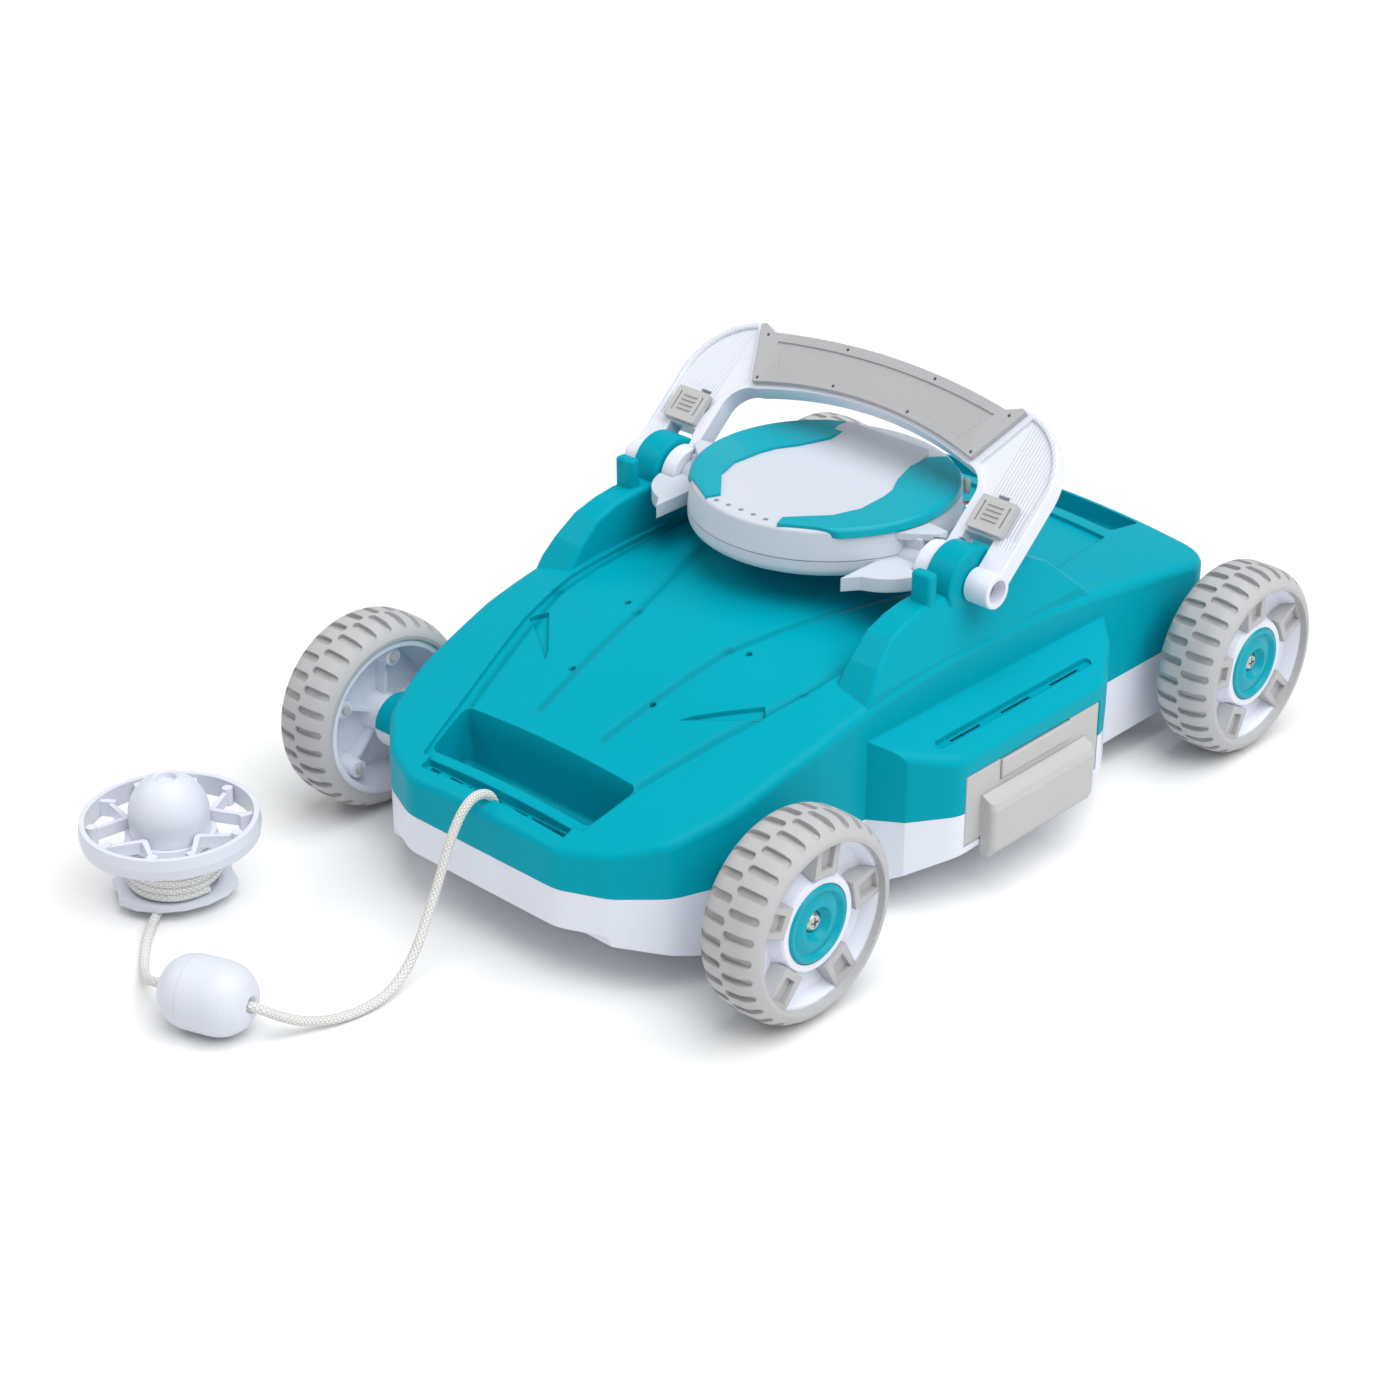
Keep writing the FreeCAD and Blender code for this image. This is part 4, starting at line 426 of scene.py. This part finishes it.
# ---------------------------------------------------------------- seals
# Black rubber, pressed between the shells, round the motor's shaft and inside the pod.
paint = moulded("seal_black", (0.02, 0.02, 0.022), 0.6, 0.02)
paint_nodes(paint, "black_rubber", "shell_gasket", "motor_seal", "pod_seal")


# ---------------------------------------------------------------- battery and board
# Inside the pod: a row of round cells under a blue shrink wrap, and the green circuit
# board that lies on them.
CELL_PITCH = 18.6 * MM
TRACK_SHADE = (0.10, 0.28, 0.10)
paint = moulded("battery_blue", (0.03, 0.07, 0.22), 0.35, 0.01)
paint.relief((paint.x * (2 * math.pi / CELL_PITCH)).sin(), 0.5)
paint_nodes(paint, "battery_wrap", "battery_pack")
paint = moulded("board_green", (0.02, 0.15, 0.06), 0.35, 0.01)
tracks = (paint.x * 2600).sin() * (paint.y * 1900).sin()
paint.mix(tracks.step(0.55, 0.6), TRACK_SHADE)
paint_nodes(paint, "board_green", "circuit_board")


# ---------------------------------------------------------------- light pipes
# Smoked clear plastic that carries the board's lights to five small windows in the lid.
paint = moulded("light_grey_clear", (0.30, 0.32, 0.36), 0.2, 0.004)
paint_nodes(paint, "clear_grey", "light_pipes")


# ---------------------------------------------------------------- filter screens
# Woven white mesh, welded on the drawers' floors.
WEAVE_PITCH = 1.2 * MM
paint = moulded("mesh_white", (0.70, 0.72, 0.74), 0.7, 0.02, edge=0.0)
threads = 2 * math.pi / WEAVE_PITCH
paint.relief((paint.x * threads).sin() * (paint.y * threads).sin(), 0.15)
paint_nodes(paint, "mesh_white", "filter_screen_right", "filter_screen_left")


# ---------------------------------------------------------------- floor and light
# A wide plain pale floor, a broad soft sun overhead, and a weak soft lamp at each side.
FLOOR_SIZE = 120
FLOOR_DROP = 0.2 * MM
AIM = Vector((0, 0, 0.06))


def lamp(name, kind, place, power):
    data = bpy.data.lights.new(name, kind)
    data.energy = power
    thing = bpy.data.objects.new(name, data)
    scene.collection.objects.link(thing)
    thing.location = place
    thing.rotation_mode = "QUATERNION"
    thing.rotation_quaternion = (AIM - Vector(place)).to_track_quat("-Z", "Y")
    return data


bpy.ops.mesh.primitive_plane_add(size=FLOOR_SIZE, location=(0, 0, -FLOOR_DROP))
floor = bpy.context.object
floor.name = "floor"
floor.data.materials.append(Paint("floor_paint", (0.88, 0.88, 0.88), 0.9, specular=0.0).finish())

world = bpy.data.worlds.new("studio")
scene.world = world
world.use_nodes = True
sky = world.node_tree.nodes["Background"]
sky.inputs["Color"].default_value = (1.0, 1.0, 1.0, 1)
sky.inputs["Strength"].default_value = 0.36
lamp("overhead", "SUN", (0.9, 0.15, 2.2), 2.7).angle = 1.1
lamp("side", "AREA", (1.7, -0.5, 0.9), 2.5).size = 1.0
lamp("left", "AREA", (-1.3, -0.9, 1.5), 6.0).size = 0.8
scene.view_settings.view_transform = "Standard"
